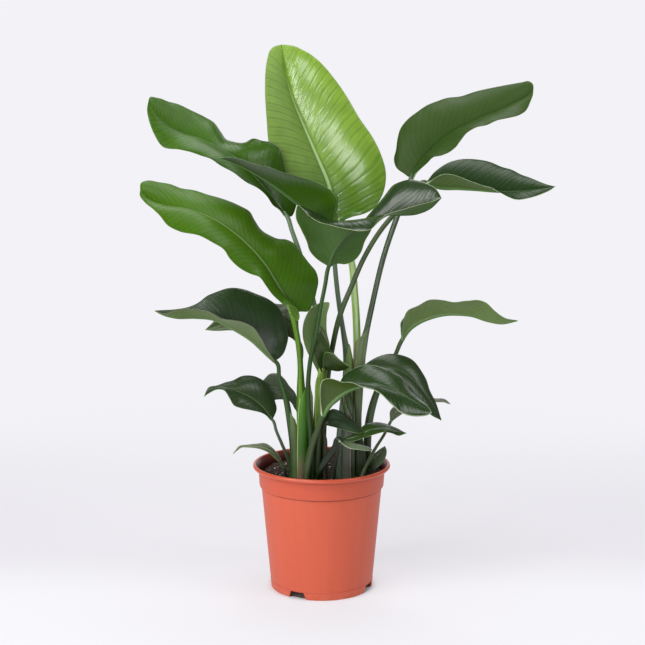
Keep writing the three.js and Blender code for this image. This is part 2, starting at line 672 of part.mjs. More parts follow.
function stalkGeometry(plan, spare = 0) {
  const curves = leafCurves(plan);
  const rows = plan.stalk.map((row) => [...seen(row), row[3]]);
  const foot = [rows[0][0], rows[0][1], SOIL_TOP - STALK_SINK - spare, rows[0][3]];
  const neck = rows[rows.length - 1][3];
  const last = vector(rows[rows.length - 1]);
  const bend = Math.min(8, 0.2 * last.distanceTo(curves.start));
  const under = curves.start.clone().addScaledVector(curves.along, -bend).toArray();
  const end = curves.start.clone().addScaledVector(curves.along, -GAP).toArray();
  const path = smooth([foot, ...rows, [...under, neck], [...end, neck]]);
  const sides = plan.small ? 6 : 8;
  const steps = plan.small ? 6 : 9;
  const points = [];
  for (let i = 0; i <= steps; i += 1) {
    const f = i / steps;
    const row = path(f);
    const centre = vector(row);
    const tangent = i === steps ? curves.along.clone()
      : vector(path(Math.min(f + 0.01, 1))).sub(vector(path(Math.max(f - 0.01, 0)))).normalize();
    if (i === 0) tangent.set(0, 0, 1);
    const wide = tangent.clone().cross(new THREE.Vector3(0, -1, 0)).normalize();
    const deep = wide.clone().cross(tangent).normalize();
    for (let k = 0; k < sides; k += 1) {
      const angle = (2 * Math.PI * k) / sides;
      points.push(centre.clone()
        .addScaledVector(wide, (row[3] + spare) * Math.cos(angle))
        .addScaledVector(deep, (row[3] * STALK_OVAL + spare) * Math.sin(angle)));
    }
  }
  const faces = [];
  const at = (i, k) => i * sides + (k % sides);
  for (let i = 0; i < steps; i += 1) {
    for (let k = 0; k < sides; k += 1) {
      faces.push([at(i, k), at(i, k + 1), at(i + 1, k + 1)], [at(i, k), at(i + 1, k + 1), at(i + 1, k)]);
    }
  }
  for (let k = 1; k < sides - 1; k += 1) {
    faces.push([at(0, 0), at(0, k + 1), at(0, k)], [at(steps, 0), at(steps, k), at(steps, k + 1)]);
  }
  return closedGeometry(points, faces);
}

for (const [name, plan] of Object.entries(LEAVES)) {
  addPiece(`${name}_leaf`, bladeGeometry(plan), plan.skin);
  addPiece(`${name}_stalk`, stalkGeometry(plan), plan.stem ?? STALK_SKIN);
}

// Pot: a turned shell, with drain holes through its floor and notches through its foot ring.
const rimFoot = POT_HEIGHT - RIM_DEPTH;
const potProfile = [
  [0, 0], [PAD_RADIUS, 0], [PAD_RADIUS + 2, RECESS], [BODY_FOOT - RING_WIDTH - 2, RECESS],
  [BODY_FOOT - RING_WIDTH, 0], [BODY_FOOT - 1, 0], [BODY_FOOT, 1.5], [BODY_TOP, COLLAR_FOOT - 1],
  [COLLAR_LOW - 0.5, COLLAR_FOOT], [COLLAR_LOW, COLLAR_FOOT + 1], [COLLAR_RADIUS, rimFoot - 2],
  [COLLAR_RADIUS + 2, rimFoot], [RIM_RADIUS - 2, rimFoot], [RIM_RADIUS, rimFoot + 2],
  [RIM_RADIUS, POT_HEIGHT - 3], [RIM_RADIUS - 1.6, POT_HEIGHT - 0.6], [RIM_RADIUS - 3.2, POT_HEIGHT],
  [RIM_INNER, POT_HEIGHT - 1.4], [COLLAR_RADIUS - WALL + 1.5, rimFoot + 1],
  [COLLAR_RADIUS - WALL, rimFoot - 4], [COLLAR_LOW - WALL, COLLAR_FOOT + 1],
  [BODY_TOP - WALL, COLLAR_FOOT - 3], [BODY_FOOT - WALL + 0.5, RECESS + FLOOR_THICK + 2],
  [BODY_FOOT - WALL - 2, RECESS + FLOOR_THICK], [0, RECESS + FLOOR_THICK],
].map(([r, z]) => new THREE.Vector2(r, z));

function latheUp(profile, sides) {
  const turned = new THREE.LatheGeometry(profile, sides).rotateX(Math.PI / 2);
  turned.deleteAttribute('normal');
  turned.deleteAttribute('uv');
  const merged = mergeVertices(turned, 1e-4);
  const points = [];
  for (let i = 0; i < merged.attributes.position.count; i += 1) {
    points.push(new THREE.Vector3().fromBufferAttribute(merged.attributes.position, i));
  }
  const faces = [];
  for (let i = 0; i < merged.index.count; i += 3) {
    const face = [merged.index.getX(i), merged.index.getX(i + 1), merged.index.getX(i + 2)];
    if (new Set(face).size === 3) faces.push(face);
  }
  return closedGeometry(points, faces);
}

let pot = toManifold(latheUp(potProfile, POT_SIDES));
for (let i = 0; i < DRAINS; i += 1) {
  const angle = (2 * Math.PI * (i + 0.5)) / DRAINS;
  const drain = new THREE.CylinderGeometry(DRAIN_RADIUS, DRAIN_RADIUS, 30, 10).rotateX(Math.PI / 2);
  drain.translate(DRAIN_CIRCLE * Math.cos(angle), DRAIN_CIRCLE * Math.sin(angle), 0);
  pot = pot.subtract(toManifold(drain));
}
const [notchFoot, notchTop] = NOTCH_WIDTH.map((width) => width / 2);
const notchOutline = new THREE.Shape([
  [-notchFoot, 0], [-notchFoot, -1], [notchFoot, -1], [notchFoot, 0], [notchTop, NOTCH_HEIGHT], [-notchTop, NOTCH_HEIGHT],
].map(([across, up]) => new THREE.Vector2(across, up)));
for (const degrees of NOTCH_ANGLES) {
  const notch = new THREE.ExtrudeGeometry(notchOutline, { depth: 30, bevelEnabled: false });
  notch.rotateX(Math.PI / 2).rotateZ(Math.PI / 2);
  notch.translate(BODY_FOOT - 15, 0, 0).rotateZ(THREE.MathUtils.degToRad(degrees));
  pot = pot.subtract(toManifold(notch));
}
addPiece('pot', fromManifold(pot), POT_PLASTIC);

// Soil: fills the pot to just under its rim, with a lumpy surface heaped a little round the
// stalks, and a plain hole round each stalk's foot.
function soilHeight(x, y) {
  const heap = 5 * Math.exp(-((x / 60) ** 2) - ((y / 50) ** 2));
  return SOIL_TOP - 3 + heap + 1.6 * Math.sin(x / 7.3 + 1.2 * Math.sin(y / 9.1))
    + 1.4 * Math.sin(y / 6.1 + 0.9 * Math.cos(x / 8.7));
}
const SOIL_FOOT_RADIUS = BODY_FOOT - WALL - 2 - 0.5;
const soilRadiusAt = (z) => BODY_FOOT - WALL + 0.5
  + (BODY_TOP - BODY_FOOT - 0.5) * ((z - RECESS - FLOOR_THICK - 2) / (COLLAR_FOOT - 4 - RECESS - FLOOR_THICK)) - GAP - 0.4;
const soilPoints = [new THREE.Vector3(0, 0, soilHeight(0, 0))];
const soilFaces = [];
const soilEdge = soilRadiusAt(SOIL_TOP - 3);
for (let ring = 1; ring <= SOIL_RINGS; ring += 1) {
  for (let k = 0; k < SOIL_SIDES; k += 1) {
    const angle = (2 * Math.PI * k) / SOIL_SIDES;
    const r = (soilEdge * ring) / SOIL_RINGS;
    const x = r * Math.cos(angle);
    const y = r * Math.sin(angle);
    soilPoints.push(new THREE.Vector3(x, y, soilHeight(x, y)));
  }
}
for (const [r, z] of [[soilRadiusAt(COLLAR_FOOT - 3), COLLAR_FOOT - 3], [SOIL_FOOT_RADIUS, RECESS + FLOOR_THICK + GAP]]) {
  for (let k = 0; k < SOIL_SIDES; k += 1) {
    const angle = (2 * Math.PI * k) / SOIL_SIDES;
    soilPoints.push(new THREE.Vector3(r * Math.cos(angle), r * Math.sin(angle), z));
  }
}
const soilAt = (ring, k) => 1 + (ring - 1) * SOIL_SIDES + (k % SOIL_SIDES);
soilPoints.push(new THREE.Vector3(0, 0, RECESS + FLOOR_THICK + GAP));
const soilBottom = soilPoints.length - 1;
for (let k = 0; k < SOIL_SIDES; k += 1) {
  soilFaces.push([0, soilAt(1, k), soilAt(1, k + 1)]);
  for (let ring = 1; ring < SOIL_RINGS + 2; ring += 1) {
    soilFaces.push([soilAt(ring, k), soilAt(ring + 1, k), soilAt(ring + 1, k + 1)]);
    soilFaces.push([soilAt(ring, k), soilAt(ring + 1, k + 1), soilAt(ring, k + 1)]);
  }
  soilFaces.push([soilBottom, soilAt(SOIL_RINGS + 2, k + 1), soilAt(SOIL_RINGS + 2, k)]);
}
let soil = toManifold(closedGeometry(soilPoints, soilFaces));
for (const plan of Object.values(LEAVES)) {
  soil = soil.subtract(toManifold(stalkGeometry(plan, GAP)));
}
addPiece('soil', fromManifold(soil), POTTING_SOIL);

export default plant;
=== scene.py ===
import bmesh
import bpy
import numpy as np
from mathutils import Matrix, Vector


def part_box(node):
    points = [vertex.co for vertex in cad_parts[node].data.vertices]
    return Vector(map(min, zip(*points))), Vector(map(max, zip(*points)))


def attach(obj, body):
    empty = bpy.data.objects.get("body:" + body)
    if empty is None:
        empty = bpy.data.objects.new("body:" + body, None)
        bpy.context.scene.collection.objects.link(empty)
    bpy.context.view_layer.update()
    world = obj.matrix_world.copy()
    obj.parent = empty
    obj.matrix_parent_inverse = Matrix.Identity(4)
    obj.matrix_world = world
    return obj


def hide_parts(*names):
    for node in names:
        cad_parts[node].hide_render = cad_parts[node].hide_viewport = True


# A bird of paradise in its nursery pot: the pot, its soil, and twenty-two leaves on their stalks.
# Metres, +Z up, with the origin at the middle of the pot's flat underside.
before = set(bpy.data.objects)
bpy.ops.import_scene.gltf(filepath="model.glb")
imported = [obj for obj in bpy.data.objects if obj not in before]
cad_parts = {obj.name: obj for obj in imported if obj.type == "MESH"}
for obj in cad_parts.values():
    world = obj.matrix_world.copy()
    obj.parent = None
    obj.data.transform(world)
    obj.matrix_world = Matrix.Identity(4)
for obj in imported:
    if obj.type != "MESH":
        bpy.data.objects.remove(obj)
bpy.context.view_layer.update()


# Camera
# It stands 2.2 m in front of the pot, as high as the upper leaves, and looks a little down. Leaves
# and stalks are drawn as they are seen from there: u and v are pixels of a 645 pixel square frame.
EYE = np.array([0, -2.185, 0.781])
AIM = np.array([0, 0, 0.471])
FOCAL = 1270
FRAME_SIDE = 645
SENSOR = 36
FRAME_MIDDLE = (321.6, 322.5)

forward = (AIM - EYE) / np.linalg.norm(AIM - EYE)
ACROSS = np.array([1.0, 0, 0])
UPWARD = np.cross(ACROSS, forward)


def seen(points):
    """Rows of u, v and depth in mm, and any further sizes in mm, as x, y, z and those sizes in metres.

    The ray through the eye and the pixel is followed until its y is the depth.
    """
    rows = np.atleast_2d(np.array(points, float))
    ray = (forward + ACROSS * (rows[:, :1] - FRAME_MIDDLE[0]) / FOCAL
           + UPWARD * (FRAME_MIDDLE[1] - rows[:, 1:2]) / FOCAL)
    depth = rows[:, 2:3] / 1000
    place = EYE + ray * (depth - EYE[1]) / ray[:, 1:2]
    return np.hstack([place, rows[:, 3:] / 1000])


camera = bpy.data.objects.new("camera", bpy.data.cameras.new("camera"))
camera.data.lens = FOCAL * SENSOR / FRAME_SIDE
camera.data.sensor_width = SENSOR
camera.data.shift_x = (FRAME_SIDE / 2 - FRAME_MIDDLE[0]) / FRAME_SIDE
camera.data.clip_start, camera.data.clip_end = 0.05, 60
camera.location = EYE
camera.rotation_mode = "QUATERNION"
camera.rotation_quaternion = Vector(forward).to_track_quat("-Z", "Y")
bpy.context.scene.collection.objects.link(camera)
bpy.context.scene.camera = camera


# Studio
# A plain pale floor melts into the pale room round it. A tall leaning window of light stands on the
# left, a low lamp beside the camera, and soft lamps high on the left and right, overhead and behind.
class Socket:
    """A value in a material's nodes. Each operator on it adds one Math node."""

    def __init__(self, finish, socket):
        self.finish, self.socket = finish, socket

    def maths(self, operation, *others):
        return self.finish.node("Math", {"operation": operation}, self, *others)

    def __add__(self, other):
        return self.maths("ADD", other)

    def __sub__(self, other):
        return self.maths("SUBTRACT", other)

    def __rsub__(self, other):
        return self.finish.node("Math", {"operation": "SUBTRACT"}, other, self)

    def __mul__(self, other):
        return self.maths("MULTIPLY", other)

    def __truediv__(self, other):
        return self.maths("DIVIDE", other)

    def __abs__(self):
        return self.maths("ABSOLUTE")

    __radd__, __rmul__ = __add__, __mul__

    def sibling(self, name):
        """Another output of the node that this value comes from."""
        return Socket(self.finish, self.socket.node.outputs[name])

    def clamped(self):
        return self.maths("MAXIMUM", 0).maths("MINIMUM", 1)

    def rise(self, low, high):
        """0 below low, 1 above high, and an even climb between them."""
        return ((self - low) / (high - low)).clamped()

    def ease(self, low, high):
        """rise with soft ends: 3 x^2 - 2 x^3."""
        climb = self.rise(low, high)
        return climb * climb * (3 - climb * 2)


class Finish:
    """A node material. surface is its Principled shader, whose sockets take numbers or Sockets."""

    def __init__(self, name, **sockets):
        self.material = bpy.data.materials.new(name)
        self.material.use_nodes = True
        self.tree = self.material.node_tree
        self.surface = self.tree.nodes["Principled BSDF"]
        self.output = self.tree.nodes["Material Output"]
        self.set(**sockets)

    def feed(self, socket, value):
        """Links a Socket to a node's socket, or sets its plain number or colour."""
        if isinstance(value, Socket):
            self.tree.links.new(value.socket, socket)
        elif socket.type == "RGBA" and len(value) == 3:
            socket.default_value = (*value, 1)
        else:
            socket.default_value = value

    def node(self, kind, settings, *values, **named):
        """The first output of a new node with those settings, its sockets fed in order and by name.

        A ramp's stops, which are positions with their colours, are one of its settings.
        """
        made = self.tree.nodes.new("ShaderNode" + kind)
        for key, value in settings.items():
            if key == "stops":
                stops = made.color_ramp.elements
                stops.remove(stops[1])
                for number, (position, colour) in enumerate(value.items()):
                    stop = stops.new(position) if number else stops[0]
                    stop.position, stop.color = position, (*colour, 1)
            else:
                setattr(made, key, value)
        open_sockets = [s for s in made.inputs if s.enabled]
        for socket, value in zip(open_sockets, values):
            self.feed(socket, value)
        for key, value in named.items():
            self.feed(next(s for s in open_sockets if s.name == key), value)
        return Socket(self, next(s for s in made.outputs if s.enabled))

    def read(self, attribute):
        """A number that the mesh carries at each point."""
        return self.node("Attribute", {"attribute_name": attribute}).sibling("Fac")

    def place(self):
        """The point's place in the object, in metres."""
        return self.node("TexCoord", {}).sibling("Object")

    def split(self, vector, axis):
        """One of a vector's numbers, X, Y or Z."""
        return self.node("SeparateXYZ", {}, vector).sibling(axis)

    def noise(self, size, detail=3, where=None, stretch=(1, 1, 1)):
        """Soft noise from 0 to 1 whose lumps are about size metres, longer along an axis by stretch."""
        scaled = self.node("VectorMath", {"operation": "MULTIPLY"}, where or self.place(),
                           tuple(1 / (size * s) for s in stretch))
        return self.node("TexNoise", {}, scaled, Scale=1, Detail=detail)

    def mix(self, share, one, other):
        """The colour one where share is 0, and other where it is 1."""
        return self.node("Mix", {"data_type": "RGBA"}, share, one, other)

    def bump(self, height, distance):
        """Normals for a relief of that height, where 1 stands distance metres proud."""
        return self.node("Bump", {}, Height=height, Distance=distance, Strength=1)

    def set(self, **sockets):
        for key, value in sockets.items():
            self.feed(self.surface.inputs[key.replace("_", " ")], value)


def srgb(red, green, blue):
    """A colour of 0 to 255 screen values as the linear light that a shader takes."""
    screen = np.array([red, green, blue]) / 255
    return tuple(np.where(screen <= 0.04045, screen / 12.92, ((screen + 0.055) / 1.055) ** 2.4))


def surface_object(name, points, faces, finish, smooth=True):
    """A mesh object at the origin from arrays of points and of faces with three or four corners."""
    mesh = bpy.data.meshes.new(name)
    mesh.vertices.add(len(points))
    mesh.vertices.foreach_set("co", np.asarray(points, np.float32).ravel())
    corners = faces.shape[1]
    mesh.loops.add(faces.size)
    mesh.loops.foreach_set("vertex_index", faces.astype(np.int32).ravel())
    mesh.polygons.add(len(faces))
    mesh.polygons.foreach_set("loop_start", np.arange(0, faces.size, corners, dtype=np.int32))
    mesh.polygons.foreach_set("use_smooth", np.full(len(faces), smooth))
    mesh.update(calc_edges=True)
    mesh.materials.append(finish.material)
    made = bpy.data.objects.new(name, mesh)
    bpy.context.scene.collection.objects.link(made)
    return made


ROOM = srgb(243, 242, 247)
SHADE = srgb(231, 229, 235)    # painted shadow: the soft dark band on the floor behind the pot
FLOOR_REACH = 12.0             # half width of the floor
FLOOR_FADE = (0.25, 1.9)       # distance from the pot over which it melts into the room
FLOOR_GLOW = 0.65              # share of glow in the floor near the pot, which keeps the shadows pale
BAND_START, BAND_DEEPEST, BAND_END = -0.1, 0.2, 1.3    # of the painted shadow band, back from the pot's axis
CONTACT = (88, 100)            # mm from the axis over which plain paint under the pot gives way to glow

floor_finish = Finish("floor_paint", Base_Color=srgb(236, 235, 239), Roughness=0.8, Specular_IOR_Level=0.1)
reach = floor_finish.node("VectorMath", {"operation": "LENGTH"}, floor_finish.place()).sibling("Value")
behind = floor_finish.split(floor_finish.place(), "Y")
# Painted shadow: the floor's glow darkens towards SHADE in a soft band behind the pot.
dip = behind.ease(BAND_START, BAND_DEEPEST) * (1 - behind.ease(BAND_DEEPEST, BAND_END))
glow = floor_finish.node("Emission", {}, Color=floor_finish.mix(dip, ROOM, SHADE), Strength=1.0)
painted = Socket(floor_finish, floor_finish.surface.outputs[0])
lit = floor_finish.node("MixShader", {}, FLOOR_GLOW, painted, glow)
faded = floor_finish.node("MixShader", {}, reach.ease(*FLOOR_FADE), lit, glow)
contact = 1 - (reach * 1000).rise(*CONTACT)
faded = floor_finish.node("MixShader", {}, contact, faded, painted)
floor_finish.tree.links.new(faded.socket, floor_finish.output.inputs["Surface"])

corners = FLOOR_REACH * np.array([[-1, -1, 0], [1, -1, 0], [1, 1, 0], [-1, 1, 0]])
floor = surface_object("floor", corners, np.array([[0, 1, 2, 3]]), floor_finish, smooth=False)

ROOM_LIGHT = 0.14         # what the room sheds on the plant, as a share of what the camera sees
world = bpy.data.worlds.new("room")
world.use_nodes = True
room = world.node_tree
sight = room.nodes.new("ShaderNodeLightPath")
even = room.nodes["Background"]
even.inputs["Color"].default_value = (*ROOM, 1)
strength = room.nodes.new("ShaderNodeMapRange")
strength.inputs["To Min"].default_value = ROOM_LIGHT
strength.inputs["To Max"].default_value = 1
room.links.new(sight.outputs["Is Camera Ray"], strength.inputs["Value"])
room.links.new(strength.outputs["Result"], even.inputs["Strength"])
bpy.context.scene.world = world
bpy.context.scene.view_settings.view_transform = "Standard"


def soft_lamp(name, place, aim, size, watts, upright=(0, 0, 1)):
    """A rectangular lamp of that width and height at place. It faces aim, with its height along upright."""
    light = bpy.data.lights.new(name, "AREA")
    light.shape, light.energy = "RECTANGLE", watts
    light.size, light.size_y = size
    made = bpy.data.objects.new(name, light)
    made.location = place
    made.rotation_mode = "QUATERNION"
    back = (Vector(place) - Vector(aim)).normalized()
    across = Vector(upright).cross(back).normalized()
    made.rotation_quaternion = Matrix((across, back.cross(across), back)).transposed().to_quaternion()
    made.visible_camera = False
    bpy.context.scene.collection.objects.link(made)


soft_lamp("window_lamp", (-1.94, -1.12, 1.48), (-0.05, 0.08, 0.87), (0.3, 1.7), 24, (0, 0.67, 1))
soft_lamp("low_lamp", (-1.0, -2.4, 1.0), (-0.05, 0.08, 0.87), (1.7, 0.5), 27)
soft_lamp("high_lamp", (-1.2, -1.6, 2.6), (0, 0, 0.55), (1.2, 1.2), 30)
soft_lamp("fill_lamp", (1.85, -1.0, 2.45), (0, 0, 0.6), (1.2, 1.2), 26)
soft_lamp("top_lamp", (0.4, 0.5, 2.9), (0, 0, 0.5), (1.8, 1.4), 38)
soft_lamp("sweep_lamp", (0, 3.2, 1.5), (0, 0, 0.7), (4.0, 2.2), 26)


# Pot
# One shell of terracotta-coloured polypropylene: a rolled rim, a band below it, a tapered wall,
# a floor with drain holes and a foot ring with four notches. It is injection moulded.
POT_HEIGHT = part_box("pot")[1].z
RIM_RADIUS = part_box("pot")[1].x
WALL = 0.0022
FOOT_RADIUS = 0.0904
BODY_TOP = 0.1062         # radius of the tapered wall where it meets the band
COLLAR_LOW = 0.1096       # the band's radius at its foot
COLLAR_RADIUS = 0.1115    # and at its top
COLLAR_FOOT = 0.182       # height of the band's foot
RIM_DEPTH = 0.008
FLOOR_LEVEL = 0.004       # underside of the floor inside the foot ring
FLOOR_THICK = 0.003
POT_SIDES = 240
rim_foot = POT_HEIGHT - RIM_DEPTH
POT_CORNERS = [           # radius, height, fillet
    (0.022, 0, 0.0008), (0.024, FLOOR_LEVEL, 0.001), (FOOT_RADIUS - 0.011, FLOOR_LEVEL, 0.001),
    (FOOT_RADIUS - 0.009, 0, 0.0008), (FOOT_RADIUS - 0.0004, 0, 0.0016),
    (FOOT_RADIUS + 0.0009, 0.0145, 0.0008), (FOOT_RADIUS + 0.0006, 0.0152, 0.0005),
    (BODY_TOP - 0.0002, COLLAR_FOOT - 0.0028, 0.001), (BODY_TOP - 0.0006, COLLAR_FOOT - 0.001, 0.0006),
    (COLLAR_LOW - 0.0006, COLLAR_FOOT + 0.0002, 0.0012), (COLLAR_LOW, COLLAR_FOOT + 0.002, 0.0012),
    (COLLAR_RADIUS, rim_foot - 0.0015, 0.002), (COLLAR_RADIUS + 0.001, rim_foot + 0.0006, 0.0012),
    (RIM_RADIUS - 0.0022, rim_foot, 0.0016), (RIM_RADIUS, rim_foot + 0.0026, 0.0022),
    (RIM_RADIUS - 0.0002, POT_HEIGHT - 0.0026, 0.003), (RIM_RADIUS - 0.0026, POT_HEIGHT, 0.0022),
    (RIM_RADIUS - 0.005, POT_HEIGHT - 0.0008, 0.0018), (RIM_RADIUS - 0.0072, POT_HEIGHT - 0.0036, 0.003),
    (COLLAR_RADIUS - WALL + 0.0016, rim_foot, 0.003), (COLLAR_RADIUS - WALL, rim_foot - 0.005, 0.003),
    (COLLAR_LOW - WALL, COLLAR_FOOT, 0.001), (BODY_TOP - WALL, COLLAR_FOOT - 0.003, 0.001),
    (FOOT_RADIUS - WALL, FLOOR_LEVEL + FLOOR_THICK + 0.001, 0.002),
    (FOOT_RADIUS - WALL - 0.003, FLOOR_LEVEL + FLOOR_THICK, 0.002),
]


def rounded(corners, steps=5):
    """The outline through the corners, each turned in a parabola that starts and ends a fillet away."""
    points = np.array([corner[:2] for corner in corners])
    fillet = np.array([corner[2] for corner in corners])[1:-1, None]
    before, after = points[:-2] - points[1:-1], points[2:] - points[1:-1]
    near = np.minimum(fillet, 0.45 * np.linalg.norm(before, axis=1, keepdims=True))
    far = np.minimum(fillet, 0.45 * np.linalg.norm(after, axis=1, keepdims=True))
    start = points[1:-1] + before / np.linalg.norm(before, axis=1, keepdims=True) * near
    end = points[1:-1] + after / np.linalg.norm(after, axis=1, keepdims=True) * far
    t = np.linspace(0, 1, steps)[None, :, None]
    arcs = (1 - t) ** 2 * start[:, None] + 2 * t * (1 - t) * points[1:-1][:, None] + t ** 2 * end[:, None]
    return np.vstack([points[:1], arcs.reshape(-1, 2), points[-1:]])


def ring_faces(rings, sides):
    """Four-cornered faces between rings of points, which are numbered ring by ring."""
    i, j = np.meshgrid(np.arange(rings - 1), np.arange(sides), indexing="ij")
    here, after = i * sides, (j + 1) % sides
    return np.stack([here + j, here + after, here + sides + after, here + sides + j], -1).reshape(-1, 4)


def revolved(outline, angle):
    """The outline, rows of radius and height, as a grid of points at each angle round the z axis."""
    ring = np.stack([np.cos(angle), np.sin(angle), np.zeros(len(angle))], -1)
    return outline[:, None, :1] * ring + outline[:, None, 1:] * np.array([0, 0, 1.0])


def turned(name, outline, sides, finish):
    """A piece whose outline is carried round the z axis, open at its first and last ring."""
    points = revolved(outline, 2 * np.pi * np.arange(sides) / sides)
    return surface_object(name, points.reshape(-1, 3), ring_faces(len(outline), sides), finish)


def close_ends(piece):
    """Fills the open first and last rings of a piece, and turns every face outwards."""
    work = bmesh.new()
    work.from_mesh(piece.data)
    bmesh.ops.holes_fill(work, edges=[e for e in work.edges if e.is_boundary], sides=0)
    bmesh.ops.recalc_face_normals(work, faces=work.faces)
    work.to_mesh(piece.data)
    work.free()


pot_finish = Finish("pot_plastic", Roughness=0.5)
pot = turned("pot_shell", rounded(POT_CORNERS), POT_SIDES, pot_finish)
close_ends(pot)

# The notches are cut through the foot ring by wedges that are wider at the ground, and the drain
# holes through the floor by short round rods.
NOTCH_FOOT = 0.034        # width of a notch at the ground
NOTCH_TOP = 0.025         # and at its top
NOTCH_HEIGHT = 0.0125
NOTCH_REACH = (-0.0076, 0.015)    # where a wedge starts and ends, out from the foot's radius
NOTCH_ANGLES = np.radians([-118, -23, 66, 156])
DRAIN_RADIUS = 0.005
DRAIN_CIRCLE = 0.056      # radius of the ring that the drain holes stand on
DRAIN_SIDES = 24
DRAINS = 8

notch_sides = np.array([[-NOTCH_FOOT, -0.0008], [NOTCH_FOOT, -0.0008],
                        [NOTCH_TOP, 2 * NOTCH_HEIGHT], [-NOTCH_TOP, 2 * NOTCH_HEIGHT]]) / 2
wedge = np.array([[r, *corner] for r in NOTCH_REACH for corner in notch_sides])
wedge_faces = np.array([[0, 3, 2, 1], [4, 5, 6, 7], [0, 1, 5, 4], [1, 2, 6, 5], [2, 3, 7, 6], [3, 0, 4, 7]])
cosine, sine = np.cos(NOTCH_ANGLES)[:, None], np.sin(NOTCH_ANGLES)[:, None]
x, y = wedge[:, 0] + FOOT_RADIUS, wedge[:, 1]
level = wedge[:, 2] + 0 * cosine
notches = np.stack([x * cosine - y * sine, x * sine + y * cosine, level], -1)
notch_faces = (wedge_faces + 8 * np.arange(len(NOTCH_ANGLES))[:, None, None]).reshape(-1, 4)
notch_cutter = surface_object("notch_cutter", notches.reshape(-1, 3), notch_faces, pot_finish)

rod_outline = np.array([[DRAIN_RADIUS, -0.01], [DRAIN_RADIUS, 0.02]])
cutters = [notch_cutter]
for turn in 2 * np.pi * (np.arange(DRAINS) + 0.5) / DRAINS:
    drain = turned(f"drain_cutter_{len(cutters)}", rod_outline, DRAIN_SIDES, pot_finish)
    close_ends(drain)
    drain.data.transform(Matrix.Translation((DRAIN_CIRCLE * np.cos(turn), DRAIN_CIRCLE * np.sin(turn), 0)))
    cutters.append(drain)
for cutter in cutters:
    cut = pot.modifiers.new("cut", "BOOLEAN")
    cut.operation, cut.solver, cut.object = "DIFFERENCE", "EXACT", cutter
cut_through = bpy.data.meshes.new_from_object(pot.evaluated_get(bpy.context.evaluated_depsgraph_get()))
pot.modifiers.clear()
pot.data = cut_through
for cutter in cutters:
    bpy.data.objects.remove(cutter)
SHARP_EDGE = np.radians(35)
pot.data.set_sharp_from_angle(angle=SHARP_EDGE)


def carry(piece, **numbers):
    """Gives each point of a piece one number under each name, for its material to read."""
    for key, values in numbers.items():
        layer = piece.data.attributes.new(key, "FLOAT", "POINT")
        layer.data.foreach_set("value", np.ravel(values).astype(np.float32))


# The inner side is what lies nearer the axis than the middle of the wall, from the floor up. What
# is behind the notches lies in shade.
MID_WALL = [              # height, radius
    (0.008, 0.0900), (0.180, 0.1049), (0.1825, 0.1084), (0.212, 0.1103), (0.2145, 0.1125), (0.222, 0.1165),
]
spots = np.empty(3 * len(pot.data.vertices))
pot.data.vertices.foreach_get("co", spots)
from_axis, level = np.hypot(spots[0::3], spots[1::3]), spots[2::3]
carry(pot, inside=(from_axis < np.interp(level, *np.transpose(MID_WALL))) & (level > MID_WALL[0][0]),
      shaded=(from_axis < FOOT_RADIUS - 0.005) & (level < NOTCH_HEIGHT + 0.001))

# The plastic is a little streaked, darker on the band and dusty near the ground. Painted shade
# darkens the inside, the two creases and what lies behind the notches.
clay, deep_clay = srgb(204, 88, 58), srgb(190, 76, 49)
streaks = pot_finish.noise(0.02, 4, stretch=(1, 1, 16))
speckle = pot_finish.noise(0.0012, 2)
pot_colour = pot_finish.mix(streaks.rise(0.38, 0.68) * 0.3, clay, deep_clay)
height = pot_finish.split(pot_finish.place(), "Z")
below_rim = 1 - height.rise(0.205, 0.221)
mm = height * 1000
collar = mm.rise(179, 184)
pot_colour = pot_finish.mix(collar * 0.5, pot_colour, deep_clay)
# Painted shade in the crease above the foot and in the crease under the lip.
foot_crease_shade = mm.rise(12.9, 13.6) * (1 - mm.rise(14, 15))
lip_crease_shade = mm.rise(209.5, 212) * (1 - mm.rise(212.8, 213.8))
pot_colour = pot_finish.mix(foot_crease_shade * 0.35 + lip_crease_shade * 0.45, pot_colour, srgb(120, 42, 28))
pot_colour = pot_finish.mix(pot_finish.read("shaded"), pot_colour, srgb(26, 9, 7))
# Painted shade on the inner side, a little lighter just under the rim.
pot_colour = pot_finish.mix(pot_finish.read("inside") * (0.85 + below_rim * 0.15), pot_colour, srgb(76, 20, 11))
dust = (1 - mm.rise(0, 13)) * pot_finish.noise(0.008, 3).rise(0.4, 0.7) * 0.3
pot_finish.set(
    Base_Color=pot_finish.mix(dust, pot_colour, srgb(205, 150, 125)),
    Roughness=0.42 + speckle * 0.12 - mm.rise(214, 216) * 0.16,
    Specular_IOR_Level=0.5,
    Normal=pot_finish.bump(speckle, 0.00005),
)
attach(pot, "root")
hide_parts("pot")


# Soil
# Dark peat with bark and a few white grains, filled to just under the rim and heaped a little
# round the stalks. Its top is a lumpy disc that closes with a plain side and underside.
SOIL_TOP = 0.206
SOIL_RINGS = 90
SOIL_SIDES = 260
LATTICE = 64              # random heights along each side of the square that lumps are read from
soil_foot, soil_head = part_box("soil")
soil_edge = soil_head.x


def lumps(x, y, size, seed):
    """Smooth random heights from 0 to 1: values on a square lattice, blended between its points."""
    lattice = np.random.default_rng(seed).random((LATTICE, LATTICE))
    u, v = x / size + LATTICE // 2, y / size + LATTICE // 2
    i, j = np.floor(u).astype(int), np.floor(v).astype(int)
    p, q = u - i, v - j
    p, q = p * p * (3 - 2 * p), q * q * (3 - 2 * q)
    i, j = i % (LATTICE - 1), j % (LATTICE - 1)
    near = lattice[i, j] * (1 - q) + lattice[i, j + 1] * q
    far = lattice[i + 1, j] * (1 - q) + lattice[i + 1, j + 1] * q
    return near * (1 - p) + far * p


